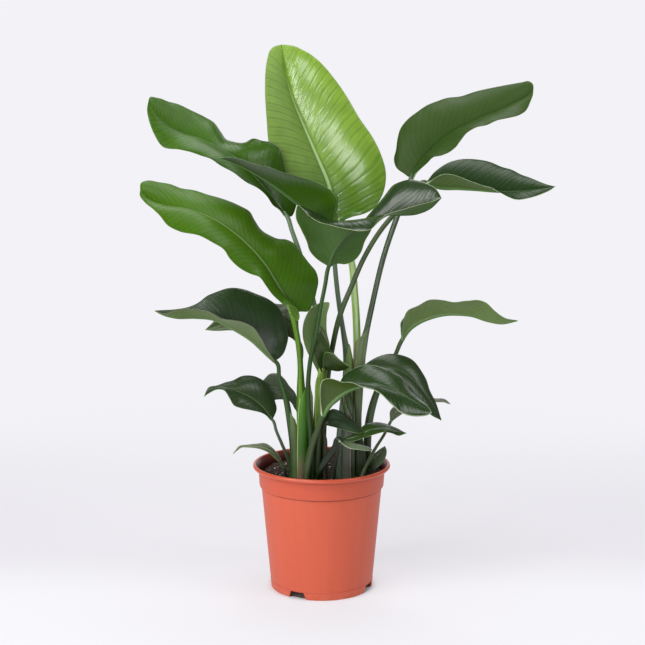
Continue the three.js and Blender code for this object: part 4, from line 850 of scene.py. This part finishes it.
# Where a leaf differs from that plain dark leaf and its stalk.
LOOKS = {
    # Near its stalk the crown leaf's blade is painted in shade, and its rib too, through rib_start.
    "crown": {
        "slot": "leaf_pale", "stem_slot": "stalk_young",
        "blade": {"base": (61, 105, 14), "tip": (119, 152, 53), "under": (124, 162, 80),
                  "rib": (172, 200, 140), "rim": (96, 128, 60), "pitch": 0.0145, "crease": 0.6,
                  "puff": 0.00012, "tilt": 0.001, "rough": 0.19, "shine": 0.55, "lines": 0.36,
                  "fine_lines": 0.12, "fine": 0.00004, "ripe": (0.0, 0.35), "rib_start": (0.05, 0.16),
                  "rib_end": (0.5, 0.85), "rib_share": 0.9, "left_dull": 0.45, "left_shade": 0.3,
                  "fine_count": 2.0, "dull": 0.2, "dull_from": (0.8, 0.95)},
        "stalk": {"low": (123, 154, 100), "high": (158, 196, 93), "pale": (210, 226, 194),
                  "stripes": 0.6, "ripe": (0.3, 0.45)},
    },
    # Its darker base is painted shade, under the inner leaf.
    "upper_left": {
        "slot": "leaf_green",
        "blade": {"base": (23, 45, 2), "tip": (52, 89, 3), "under": (34, 58, 20), "rib": (96, 134, 66),
                  "ripe": (0.25, 0.6), "shine": 0.25, "rough": 0.3, "dull": 0.1, "lines": 0.8,
                  "fine_lines": 0.6},
        "stalk": {"high": (97, 121, 88), "low": (48, 76, 43), "pale": (157, 177, 144), "stripes": 0.5},
    },
    "left": {
        "slot": "leaf_green", "stem_slot": "stalk_young",
        "blade": {"base": (53, 91, 5), "tip": (62, 99, 7), "rib": (120, 150, 84), "under": (73, 106, 30),
                  "lines": 0.9, "fine_lines": 0.6, "shine": 0.22, "rough": 0.34},
        "stalk": {"low": (43, 83, 9), "high": (88, 131, 16), "pale": (128, 167, 52),
                  "sheath": (56, 85, 12), "sheath_top": 0.3, "stripes": 0.4},
    },
    "left_low": {
        "blade": {"base": (38, 60, 29), "tip": (41, 64, 33), "under": (82, 108, 44),
                  "rim": (126, 110, 80), "shine": 0.9, "rough": 0.24, "puff": 0.00006, "tilt": 0.0009,
                  "back_dull": 0.3, "fine": 0.00003, "dull": 0.35, "dull_from": (0.5, 0.75)},
        "stalk": {"low": (33, 66, 21), "high": (45, 79, 22), "pale": (77, 107, 58)},
    },
    "left_back": {
        "blade": {"base": (54, 62, 27), "tip": (54, 76, 26)},
        "stalk": {"low": (54, 82, 50)},
    },
    "upper_right": {
        "blade": {"base": (45, 68, 20), "tip": (47, 69, 22), "under": (110, 134, 88),
                  "rib": (60, 96, 36), "rib_share": 0.4, "rim": (150, 166, 130), "shine": 0.14,
                  "rough": 0.4},
        "stalk": {"low": (28, 45, 23), "high": (27, 47, 20), "pale": (125, 145, 111), "stripes": 0.7,
                  "dark_sides": 0.75},
    },
    "right": {
        "blade": {"base": (19, 45, 4), "tip": (22, 49, 4), "under": (75, 100, 46),
                  "rim": (190, 205, 160), "shine": 0.24, "rough": 0.34, "back_dull": 0.3, "puff": 0.00015,
                  "tilt": 0.0006},
        "stalk": {"high": (50, 71, 22), "low": (33, 52, 23), "pale": (83, 105, 60)},
    },
    "centre": {
        "blade": {"base": (31, 50, 19), "tip": (34, 54, 23), "under": (48, 84, 1),
                  "rim": (176, 190, 140), "rib": (46, 76, 26), "back_dull": 0.4, "rough": 0.2,
                  "shine": 0.5},
        "stalk": {"low": (19, 42, 4), "high": (30, 66, 5), "pale": (61, 98, 28)},
    },
    "inner": {
        "blade": {"base": (50, 96, 10), "tip": (52, 98, 12), "under": (56, 93, 5), "rib": (60, 96, 40),
                  "under_tip": (34, 60, 4), "back_dull": 0.0, "shine": 0.3},
        "stalk": {"low": (86, 103, 84), "high": (78, 99, 76), "sheath": (91, 106, 84), "sheath_top": 0.4,
                  "pale": (111, 135, 94)},
    },
    "young": {
        "slot": "leaf_pale", "stem_slot": "stalk_young",
        "blade": {"base": (94, 121, 66), "tip": (105, 128, 79), "under": (96, 116, 76),
                  "rim": (166, 176, 140)},
        "stalk": {"low": (117, 158, 47), "high": (142, 181, 60), "pale": (167, 202, 98)},
    },
    "young_front": {
        "slot": "leaf_green",
        "blade": {"base": (38, 60, 10), "tip": (44, 63, 14), "under": (96, 112, 68),
                  "rim": (112, 132, 76), "rim_width": 0.7, "rim_share": 0.25},
        "stalk": {"low": (48, 67, 31), "high": (103, 125, 36), "pale": (85, 102, 63), "ripe": (0.3, 0.36)},
    },
    "low_right": {
        "blade": {"base": (36, 60, 23), "tip": (32, 56, 18), "under": (65, 88, 27),
                  "rim": (182, 196, 158), "rim_width": 2.4, "rim_share": 0.85, "rough": 0.22},
        "stalk": {"low": (44, 61, 24), "high": (52, 77, 23), "sheath": (44, 61, 24), "sheath_top": 0.3,
                  "seam": (160, 140, 120), "pale": (86, 106, 65)},
    },
    "low_right_back": {
        "blade": {"base": (40, 58, 27), "tip": (42, 62, 31), "rib_share": 0.15},
        "stalk": {"low": (51, 62, 34), "high": (41, 66, 22), "pale": (88, 108, 63)},
    },
    "far_right": {
        "blade": {"under": (95, 119, 60), "base": (60, 90, 46), "tip": (60, 90, 46)},
        "stalk": {"low": (62, 78, 46), "high": (66, 90, 38), "pale": (95, 122, 77)},
    },
    "low_edge": {
        "blade": {"base": (101, 104, 85), "tip": (95, 101, 83)},
        "stalk": {"low": (69, 78, 49), "high": (60, 90, 43), "pale": (109, 129, 89)},
    },
    "low_mid": {
        "blade": {"base": (42, 64, 20), "tip": (44, 67, 21)},
        "stalk": {"low": (27, 34, 17), "high": (37, 56, 23), "pale": (84, 98, 64)},
    },
    "low_dark": {
        "blade": {"base": (22, 41, 17), "tip": (34, 56, 22), "rib": (40, 62, 36), "rib_share": 0.1,
                  "rough": 0.5, "shine": 0.2, "puff": 0.00004},
        "stalk": {"low": (47, 42, 25), "high": (57, 64, 29), "pale": (105, 107, 73)},
    },
    "front_small": {
        "blade": {"base": (97, 111, 85), "tip": (105, 117, 94), "rim": (170, 182, 150)},
        "stalk": {"low": (5, 21, 1), "high": (5, 25, 1), "pale": (29, 57, 15)},
    },
    "pot_right": {
        "blade": {"base": (88, 101, 75), "tip": (88, 101, 75)},
        "stalk": {},
    },
    "droop_left": {
        "blade": {"base": (91, 100, 64), "tip": (105, 111, 76)},
        "stalk": {},
    },
    "low_left": {
        "blade": {"base": (40, 58, 28), "tip": (43, 63, 32), "tilt": 0.0005},
        "stalk": {"low": (78, 92, 70), "high": (78, 92, 70)},
    },
    "low_left_back": {
        "blade": {"base": (78, 89, 70), "tip": (78, 89, 70)},
        "stalk": {},
    },
}


def curve(rows):
    """A smooth curve through rows of numbers, as a function of shares f from 0 to 1.

    Cubic pieces over the chord length of the first three numbers. At a row the slope is the mean of
    its two chords' slopes, each weighted by the other's length.
    """
    rows = np.asarray(rows, float)
    chord = np.linalg.norm(np.diff(rows[:, :3], axis=0), axis=1)
    at = np.concatenate([[0], np.cumsum(chord)])
    rise = np.diff(rows, axis=0) / chord[:, None]
    inner = (rise[1:] * chord[:-1, None] + rise[:-1] * chord[1:, None]) / (chord[1:] + chord[:-1])[:, None]
    slope = np.vstack([rise[:1], inner, rise[-1:]])

    def follow(f):
        x = np.asarray(f, float) * at[-1]
        i = np.clip(np.searchsorted(at, x, "right") - 1, 0, len(chord) - 1)
        t, span = ((x - at[i]) / chord[i])[:, None], chord[i][:, None]
        return ((2 * t ** 3 - 3 * t ** 2 + 1) * rows[i] + (t ** 3 - 2 * t ** 2 + t) * span * slope[i]
                + (3 * t ** 2 - 2 * t ** 3) * rows[i + 1] + (t ** 3 - t ** 2) * span * slope[i + 1])

    follow.length = at[-1]
    return follow


def unit(vectors):
    """The vectors at length 1."""
    return vectors / np.maximum(np.linalg.norm(vectors, axis=-1, keepdims=True), 1e-12)


NECK_LEAST = 2.5          # least half width of a blade where it meets its stalk, in mm


def leaf_lines(plan):
    """The leaf's rib and margins as curves, its direction at the stalk, and its neck's half width."""
    rib, left, right = seen(plan["rib"]), seen(plan["left"]), seen(plan["right"])
    rib_curve = curve(rib)
    first = rib_curve([0, 0.01])
    along = unit(first[1] - first[0])
    side = right[0] + right[1] - left[0] - left[1]
    side = unit(side - side @ along * along)
    neck = max(plan["stalk"][-1][3], NECK_LEAST) / 1000
    left = np.vstack([rib[0] - side * neck, left, rib[-1]])
    right = np.vstack([rib[0] + side * neck, right, rib[-1]])
    return rib_curve, curve(left), curve(right), along, neck


def two_faced(name, upper, lower, finish):
    """A closed sheet between two grids of points, whose rows are joined round both sides and both ends."""
    around = np.concatenate([upper, lower[:, ::-1]], axis=1)
    rows, columns = around.shape[:2]
    j = np.arange(columns // 2 - 1)
    cap = np.stack([j, columns - 1 - j, columns - 2 - j, j + 1], -1)
    faces = np.concatenate([ring_faces(rows, columns), cap, (rows - 1) * columns + cap[:, ::-1]])
    return surface_object(name, around.reshape(-1, 3), faces, finish)


def carry_twice(sheet, shape, **grids):
    """Gives both faces of a closed sheet the same numbers, from grids that stretch to one face's shape."""
    for key, grid in grids.items():
        face = np.broadcast_to(grid, shape)
        carry(sheet, **{key: np.hstack([face, face[:, ::-1]])})


def held(values):
    """The values, with those below 0 taken as 0 and those above 1 as 1."""
    return np.clip(values, 0, 1)


BLADE_THICK = 0.0009
TIP_END = 0.997           # share of the rib where the blade's last row lies, just short of its tip
RIB_WIDE = 0.75           # half width of the rib at the stalk, in half widths of the neck
RIB_BAND = 1.5            # half width of a band of finer steps, in half widths of the rib
RIB_STEPS = 4             # steps across each half of that band
SMALL_GRID = (64, 9)      # steps along a small blade, and across each half beside its rib
LARGE_GRID = (130, 15)
MARGIN_STEP = 0.986       # share of each half where the last point before its margin lies
BOW = 0.1                 # how far each half bows up, as a share of its width
RIPPLE = 0.0093           # length of the margin's ripples, over 2 pi
RIPPLE_DRIFT = 0.021      # length over which they crowd and spread, over 2 pi
KEEL = 1.15               # depth of the keel under the rib, in half widths of the rib
GROOVE_WIDE = 0.55        # half width of the groove over the rib, in half widths of the rib
GROOVE_END = 0.85         # share of the rib where that groove has run out
NECK_BODY = 0.7           # half thickness of the blade at the stalk, in half widths of the neck


def blade(name, plan, finish):
    """A leaf blade as one closed sheet, a grid that runs round its two faces.

    With s along the rib R from 0 to 1 and t across each half from rib to margin E, the sheet is
    R(s) + t (E(g) - R(s)) + up bow |E - R| 4 t (1 - t), where g = s + lean s (1 - s). Its margin is
    waved by wave t^5 sin(s L / ripple). The rib narrows by taper to the tip. The upper face sinks by
    sink along it, and the underside has a round keel under it. A point's place among the side veins
    is ahead - sweep aside, measured along and across the rib. Of the four numbers of sweep, the left
    half has the first two, at the stalk and at the tip, and the right half the others.
    """
    rib, left, right, along, neck = leaf_lines(plan)
    rows, half = SMALL_GRID if plan.get("small") else LARGE_GRID
    share = TIP_END * np.linspace(0, 1, rows + 1)
    middle = rib(share)
    lean = plan.get("lean", (0.25, 0.25))
    edges = [margin(share + by * share * (1 - share)) - middle for margin, by in zip((left, right), lean)]
    ahead = unit(np.gradient(middle, axis=0))
    up = unit(np.cross(edges[1] - edges[0], ahead))
    s = share[:, None]
    rib_half = neck * (1 - plan.get("taper", 0.82) * s) * RIB_WIDE

    # The columns of the grid: first those of the rib's band, then those of the rest of each half.
    on_rib = np.linspace(0, 1, RIB_STEPS + 1)[1:]
    beside = np.append((np.arange(1, half) / half) ** 0.9, [MARGIN_STEP, 1])
    halves = []
    for edge in edges:
        wide = np.linalg.norm(edge, axis=1, keepdims=True)
        band = np.minimum(RIB_BAND * rib_half / np.maximum(wide, 1e-5), 0.5)
        halves.append(np.hstack([band * on_rib, band + (1 - band) * beside]))
    t = np.hstack([-halves[0][:, ::-1], 0 * s, halves[1]])
    side = t > 0
    edge = np.where(side[..., None], edges[1][:, None], edges[0][:, None])
    reach = np.abs(t)
    wide = np.linalg.norm(edge, axis=-1)
    swell = BOW * wide * 4 * reach * (1 - reach) * held(6 * s)
    sheet = middle[:, None] + reach[..., None] * edge + up[:, None] * swell[..., None]
    normal = unit(np.cross(np.gradient(sheet, axis=1), np.gradient(sheet, axis=0)))
    normal[0] = unit(normal[0] - (normal[0] @ along)[:, None] * along)

    # The ripples fade out at both ends, and the groove over the rib before the tip. Near the stalk the
    # blade thickens into the neck.
    run = s * rib.length + 0 * t
    ripple = np.sin(run / RIPPLE + 1.7 * np.sin(run / RIPPLE_DRIFT) + 2 * side)
    wave = plan.get("wave", 0.0009) * reach ** 5 * ripple * held(10 * s) * held(10 * (TIP_END - s))
    gap = reach * wide
    keel = rib_half * KEEL * np.sqrt(held(1 - (gap / rib_half) ** 2))
    groove = plan.get("sink", 0.35) * rib_half * np.exp(-(gap / (GROOVE_WIDE * rib_half)) ** 2)
    groove = groove * held(2.5 * (GROOVE_END - s))
    neck_body = NECK_BODY * neck * held(1 - 14 * s) * (1 - 0.6 * reach)
    thin = BLADE_THICK / 2 * np.sqrt(np.clip(1 - reach ** 24, 0.05, 1))
    centre = sheet + normal * wave[..., None]
    upper = centre + normal * (thin + neck_body - groove * held(12 * s))[..., None]
    lower = centre - normal * (thin + np.maximum(keel, neck_body))[..., None]
    made = two_faced(name, upper, lower, finish)

    # What the finish reads: the place among the side veins, the distances from rib and margin, the
    # rib's half width, the share along the leaf, the half, and the face.
    slant = plan.get("sweep", (0.5, 1.2, 0.5, 1.2))
    sweep = np.where(side, slant[2] + (slant[3] - slant[2]) * s, slant[0] + (slant[1] - slant[0]) * s)
    offset = sheet - middle[:, None]
    ahead_by = (offset * ahead[:, None]).sum(-1)
    aside = np.linalg.norm(offset - ahead_by[..., None] * ahead[:, None], axis=-1)
    carry_twice(made, t.shape, vein=run + ahead_by - sweep * aside + 0.5 * side, gap=gap,
                edge=(1 - reach) * wide, rib=rib_half, tip=s, side=t)
    carry(made, upper=np.hstack([np.ones_like(t), np.zeros_like(t)]))
    return made


def toned(colour, share, most=1):
    """The colour with each channel at that share of its strength, and none above most."""
    return tuple(min(most, share * channel) for channel in colour)


def leaf_skin(name, look):
    """A leaf's finish from its look, a table of colours and sizes; see LEAF_LOOK.

    The leaf's upper face goes from base to tip colour, and its underside, rib and margin have their
    own. On some leaves the darker base is painted shade, and painted shade also darkens the strips
    beside the rib and, by left_shade, the left half. Creases along the stronger side veins part it into
    nearly flat strips, each tilted a little its own way and holding finer parallel veins.
    """
    look = {**LEAF_LOOK, **look}
    skin = Finish(name)
    base, tip, under, rib, rim = (srgb(*look[key]) for key in ("base", "tip", "under", "rib", "rim"))
    vein, gap, edge, upper = (skin.read(key) for key in ("vein", "gap", "edge", "upper"))
    along = skin.read("tip")
    left = 1 - skin.read("side").rise(-0.05, 0.05)
    mottle = skin.noise(0.022, 4)
    blotch = mottle.rise(0.35, 0.7) * 0.3
    wander = skin.noise(0.05, 1) * 0.012
    number = (vein + wander) / look["pitch"]
    strip = abs((number * np.pi).maths("SINE"))
    own = skin.node("TexWhiteNoise", {"noise_dimensions": "1D"}, number.maths("FLOOR"))
    tilt = (number.maths("FRACT") - 0.5) * (own - 0.5)
    turns = (vein + wander * 0.5) * (2 * np.pi * look["fine_count"] / look["pitch"])
    fine = turns.maths("SINE") * 0.5 + 0.5
    crease = 1 - strip.ease(0, look["crease"])
    near_rib = gap / skin.read("rib")
    off_rib = near_rib.rise(1.0, 2.6) * (edge * 1000).rise(0.5, 5)

    # The upper face and the underside.
    # From base to tip colour; on the crown and upper_left leaves the darker base is painted shade.
    face = skin.mix(along.rise(*look["ripe"]), base, tip)
    face = skin.mix(blotch, face, toned(base, 0.7))
    face = skin.mix(crease * off_rib * (0.4 + own * 0.6) * look["lines"], face, toned(base, 0.5))
    face = skin.mix(fine * off_rib * look["fine_lines"], face, toned(tip, 1.5))
    face = skin.mix(left * look["left_shade"] * (1 - along.rise(0.72, 0.95)), face, toned(base, 0.5))
    back = skin.mix(along.rise(0.2, 0.7), under, srgb(*look.get("under_tip", look["under"])))
    back = skin.mix(blotch, back, toned(under, 0.7))
    back = skin.mix((crease + fine * 0.5) * off_rib * 0.25, back, toned(under, 0.6))
    colour = skin.mix(upper, back, face)

    # The rib, painted shade in the strips beside it, and the pale margin.
    fading = (1 - along.rise(*look["rib_end"])) * along.rise(*look["rib_start"])
    on_rib = (1 - near_rib.rise(0.7, 1.15)) * (1 - upper * (1 - fading * look["rib_share"]))
    colour = skin.mix(on_rib, colour, rib)
    beside = near_rib.rise(0.9, 1.2) * (1 - near_rib.rise(1.2, 1.9)) * fading * upper
    colour = skin.mix(beside * 0.45, colour, toned(base, 0.55))
    on_rim = 1 - (edge * 1000).rise(0.35, look["rim_width"])
    colour = skin.mix(on_rim * look["rim_share"], colour, rim)

    # The relief, which leaves the rib, the margin and the tip smooth, and the roughness.
    relief = (1 - crease + strip * 0.5) * look["puff"] + tilt * look["tilt"] + fine * look["fine"]
    relief = relief * (1 - crease) * off_rib * (1 - along.rise(0.9, 0.98))
    dull = (1 - upper) * look["back_dull"] + left * look["left_dull"] + on_rim * 0.4
    dull = dull + along.rise(*look["dull_from"]) * look["dull"]
    skin.set(
        Base_Color=colour,
        Roughness=dull + mottle * 0.08 + look["rough"],
        Normal=skin.bump(relief * 1000, 0.001),
        Specular_IOR_Level=look["shine"],
    )
    return skin


STALK_OVAL = 0.82         # depth of a stalk's section from front to back, as a share of its width
STALK_SINK = 0.032        # how deep its foot goes into the soil
STALK_STRAIGHT = 0.008    # longest stretch before the blade that lies in line with its rib
STALK_REACH = 0.006       # how far its end goes on into the blade
STALK_GROOVE = 0.2        # depth of the groove, as a share of the half width
GROOVE_SPREAD = 0.45      # half width of the groove, in radians
STALK_RIDGES = 9
RIDGE = 0.012             # height of a ridge, as a share of the half width
SMALL_STALK = (60, 16)    # rings along a small leaf's stalk, and points round each
LARGE_STALK = (120, 22)


def sideways(path, f):
    """Unit directions to the right and to the front, square to the path at each share f."""
    heading = unit(np.gradient(path(f)[:, :3], axis=0))
    right_way = unit(np.cross(heading, [0, -1.0, 0]))
    return right_way[:, None], unit(np.cross(right_way, heading))[:, None]


def stalk(name, plan, finish):
    """A stalk as an oval tube along its path, closed at both ends, with a groove on its leaf's upper side.

    Around the section, at angle a from the groove, the radius is 1 - groove exp(-(a / spread)^2), with
    fine ridges along the stalk. Its end runs into the blade in line with the rib.
    """
    rib, left, right, along = leaf_lines(plan)[:4]
    points = seen(plan["stalk"])
    foot = [points[0][0], points[0][1], SOIL_TOP - STALK_SINK, points[0][3]]
    last = points[-1][3]
    start = rib([0.0])[0]
    straight = min(STALK_STRAIGHT, 0.2 * np.linalg.norm(points[-1][:3] - start))
    before = [*(start - along * straight), last]
    end = [*(start + along * STALK_REACH), last * 0.9]
    path = curve(np.vstack([foot, points, before, end]))
    steps, sides = SMALL_STALK if plan.get("small") else LARGE_STALK
    f = np.linspace(0, 1, steps + 1)
    rows = path(f)
    wide = rows[:, 3:]
    right_way, front_way = sideways(path, f)

    # The groove faces the way that the blade's upper face does at its foot.
    near = rib([0.03, 0.05])
    across = right([0.05])[0] - left([0.05])[0]
    facing = unit(np.cross(across, near[1] - near[0]))
    groove_angle = np.arctan2(front_way @ facing, right_way @ facing)
    angle = 2 * np.pi * np.arange(sides) / sides
    off = (angle - groove_angle + np.pi) % (2 * np.pi) - np.pi
    deep = STALK_GROOVE * held((1 - f) * 12)[:, None]
    size = 1 - deep * np.exp(-(off / GROOVE_SPREAD) ** 2) + RIDGE * np.cos(STALK_RIDGES * angle)
    around = (rows[:, None, :3] + right_way * (wide * size * np.cos(angle))[..., None]
              + front_way * (wide * STALK_OVAL * size * np.sin(angle))[..., None])
    made = surface_object(name, around.reshape(-1, 3), ring_faces(steps + 1, sides), finish)
    close_ends(made)
    whole = np.ones_like(off)
    carry(made, run=f[:, None] * path.length * whole, off=np.abs(off), turn=np.sin(angle) * whole)
    return made


def stalk_skin(name, look):
    """A stalk's finish from its look: low at the soil, high at the leaf, with paler streaks along it.

    Below the height sheath_top it takes the sheath's colour, with a thin pale margin each side of the
    groove. The foot colour covers what is near the soil by foot_share. The paler streaks, partly the
    stalk's own and partly painted highlight, are noise that is looked up by the way round the stalk
    and the run along it. Painted shade darkens its sides by dark_sides.
    """
    look = {**STALK_LOOK, **look}
    skin = Finish(name)
    low, high, pale, sheath = (srgb(*look[key]) for key in ("low", "high", "pale", "sheath"))
    off = skin.read("off")
    round_it = skin.node("CombineXYZ", {}, off * 0.005, skin.read("turn") * 0.005, skin.read("run"))
    streak = skin.noise(0.0007, 3, round_it, stretch=(1, 1, 60))
    broad = skin.noise(0.0022, 2, round_it, stretch=(1, 1, 80))
    patch = skin.noise(0.02, 3, stretch=(1, 1, 4))
    height = skin.split(skin.place(), "Z")
    colour = skin.mix(height.rise(*look["ripe"]), low, high)
    in_sheath = 1 - height.rise(look["sheath_top"] - 0.03, look["sheath_top"])
    colour = skin.mix(in_sheath * 0.85, colour, sheath)
    # Paler streaks, partly the stalk's own and partly painted highlight, with darker ground between.
    colour = skin.mix(broad.rise(0.45, 0.62) * look["stripes"], colour, pale)
    colour = skin.mix(streak.rise(0.5, 0.75) * 0.25, colour, pale)
    colour = skin.mix((1 - broad.rise(0.25, 0.45)) * look["stripes"], colour, toned(low, 0.45))
    # Painted shade at the sides of the stalk.
    at_side = 1 - skin.read("turn").rise(0.1, 0.7)
    colour = skin.mix(at_side * look["dark_sides"], colour, toned(low, 0.4))
    colour = skin.mix(patch.rise(0.5, 0.8) * 0.35, colour, toned(low, 0.55))
    seam = off.rise(0.42, 0.5) * (1 - off.rise(0.56, 0.66))
    colour = skin.mix(seam * (in_sheath * 0.6 + look["margin"]), colour, srgb(*look["seam"]))
    colour = skin.mix((1 - height.rise(0.215, 0.26)) * look["foot_share"], colour, srgb(*look["foot"]))
    skin.set(
        Base_Color=colour,
        Roughness=look["rough"] + streak * 0.12,
        Normal=skin.bump(streak + broad * 2, 0.00012),
        Specular_IOR_Level=look["shine"],
    )
    return skin


for name, plan in LEAVES.items():
    look = LOOKS[name]
    leaf = blade(f"{name}_blade", plan, leaf_skin(f"{name}_skin", look["blade"]))
    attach(leaf, "root")
    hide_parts(f"{name}_leaf")
    stem = stalk(f"{name}_stem", plan, stalk_skin(f"{name}_stem_skin", look["stalk"]))
    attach(stem, "root")
    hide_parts(f"{name}_stalk")


# Sheaths
# The foot of a stalk widens into a firm sheath that wraps its neighbour, with a thin pale margin.
# Each is a thin closed trough along a smooth curve, on the stalk that it belongs to.

# A path has the numbers of a stalk's, and turn is the side that the sheath closes on, in radians
# round from the front to the right.
SHEATHS = {
    "left_low": {
        "turn": -1.2, "colour": (71, 87, 51), "high": (99, 124, 62), "seam": (155, 124, 100),
        "path": [(297.6, 481, -48, 9.6), (297, 455, -50, 9), (294.8, 430, -54, 8.4),
                 (291.5, 410.5, -57, 4)],
    },
    "left": {
        "turn": 1.1, "colour": (42, 86, 10), "high": (68, 118, 17), "seam": (166, 190, 104),
        "foot_share": 0.8,
        "path": [(302, 481, -67, 11.5), (302, 435, -65, 11), (302.6, 405, -66, 9), (304, 387, -66, 4)],
    },
    "young": {
        "turn": -1.2, "colour": (93, 113, 71), "seam": (143, 114, 90),
        "path": [(311.2, 481, -60, 6.4), (311.2, 440, -61, 5.4), (311.4, 410, -62, 4.8),
                 (311.4, 383, -62, 3)],
    },
    "young_foot": {
        "turn": 1.0, "colour": (80, 108, 34), "high": (101, 134, 43), "seam": (170, 200, 86),
        "path": [(317, 452, -57, 6.4), (318.4, 425, -60, 7.2), (319.4, 400, -61, 9.8),
                 (320.6, 380, -61, 11), (320.8, 366, -61, 11.2)],
    },
    "inner": {
        "turn": -1.2, "colour": (109, 129, 108), "seam": (196, 162, 149),
        "path": [(338.4, 481, -34, 7.8), (338.8, 455, -33, 7), (340.5, 428, -29, 6),
                 (343, 400, -24, 5)],
    },
    "inner_wing": {
        "turn": 0.9, "colour": (109, 134, 76), "seam": (160, 174, 111),
        "path": [(347, 420, -17, 11), (348.3, 395, -17, 10), (348.6, 365, -17, 9), (347, 344, -18, 5)],
    },
    "low_right_back": {
        "turn": -1.2, "colour": (77, 84, 70), "seam": (176, 146, 133),
        "path": [(347.2, 481, -53, 10.4), (347.2, 455, -53, 9.6), (348.2, 430, -50, 8.4),
                 (350, 407, -45, 5.5)],
    },
    "upper_right": {
        "turn": 1.2, "colour": (39, 53, 25), "high": (117, 134, 91), "seam": (151, 115, 90),
        "path": [(358.6, 481, -27, 14), (358.2, 455, -27, 12.6), (356.6, 428, -20, 9),
                 (357.6, 395, -18, 9.2), (358.2, 362, -16, 12.5), (359.2, 345, -13, 12.6),
                 (363, 334, -9, 8.5), (366.6, 326, -5, 4.8)],
    },
}

SHEATH_WRAP = 1.9         # how far round each side of a sheath goes, in radians
SHEATH_OVAL = 0.75        # depth of its section, as a share of its width
SHEATH_THICK = 0.0012     # its thickness, away from its thin margins
SHEATH_DIP = 0.12         # how much lower its sides end than its middle, as a share of its path
SHEATH_GRID = (71, 25)    # points along it, and across


def sheath(name, plan, finish):
    """A sheath as a thin trough, closed all round.

    At share f of its path and t from -1 to 1 across it, its outer face lies the half width from the
    path in the direction turn + wrap t, and oval times that towards the front. f is taken times
    1 - dip |t|^1.5. The margins carry the number that gives a stalk its pale seam.
    """
    points = seen(plan["path"])
    foot = [points[0][0], points[0][1], SOIL_TOP - STALK_SINK / 2, points[0][3]]
    path = curve(np.vstack([foot, points]))
    f = np.linspace(0, 1, SHEATH_GRID[0])
    t = np.linspace(-1, 1, SHEATH_GRID[1])
    share = f[:, None] * (1 - SHEATH_DIP * np.abs(t) ** 1.5)
    rows = path(share.ravel()).reshape(*share.shape, 4)
    right_way, front_way = sideways(path, f)
    angle = plan["turn"] + SHEATH_WRAP * t
    out = right_way * np.sin(angle)[:, None] + SHEATH_OVAL * front_way * np.cos(angle)[:, None]
    thick = SHEATH_THICK * np.sqrt(np.clip(1 - np.abs(t) ** 12, 0.05, 1))
    outer = rows[..., :3] + out * rows[..., 3:]
    inner = rows[..., :3] + out * (rows[..., 3] - thick)[..., None]
    made = two_faced(name, outer, inner, finish)
    carry_twice(made, share.shape, run=share * path.length, off=0.5 + (1 - np.abs(t)) * 1.4,
                turn=np.cos(angle))
    return made


for name, plan in SHEATHS.items():
    colour = plan["colour"]
    look = {"low": colour, "high": plan.get("high", colour), "seam": plan["seam"], "margin": 0.8,
            "ripe": (0.27, 0.36), "foot_share": plan.get("foot_share", 0.0),
            "pale": toned(colour, 1.3, 255)}
    wrap = sheath(f"{name}_sheath", plan, stalk_skin(f"{name}_sheath_skin", look))
    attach(wrap, "root")
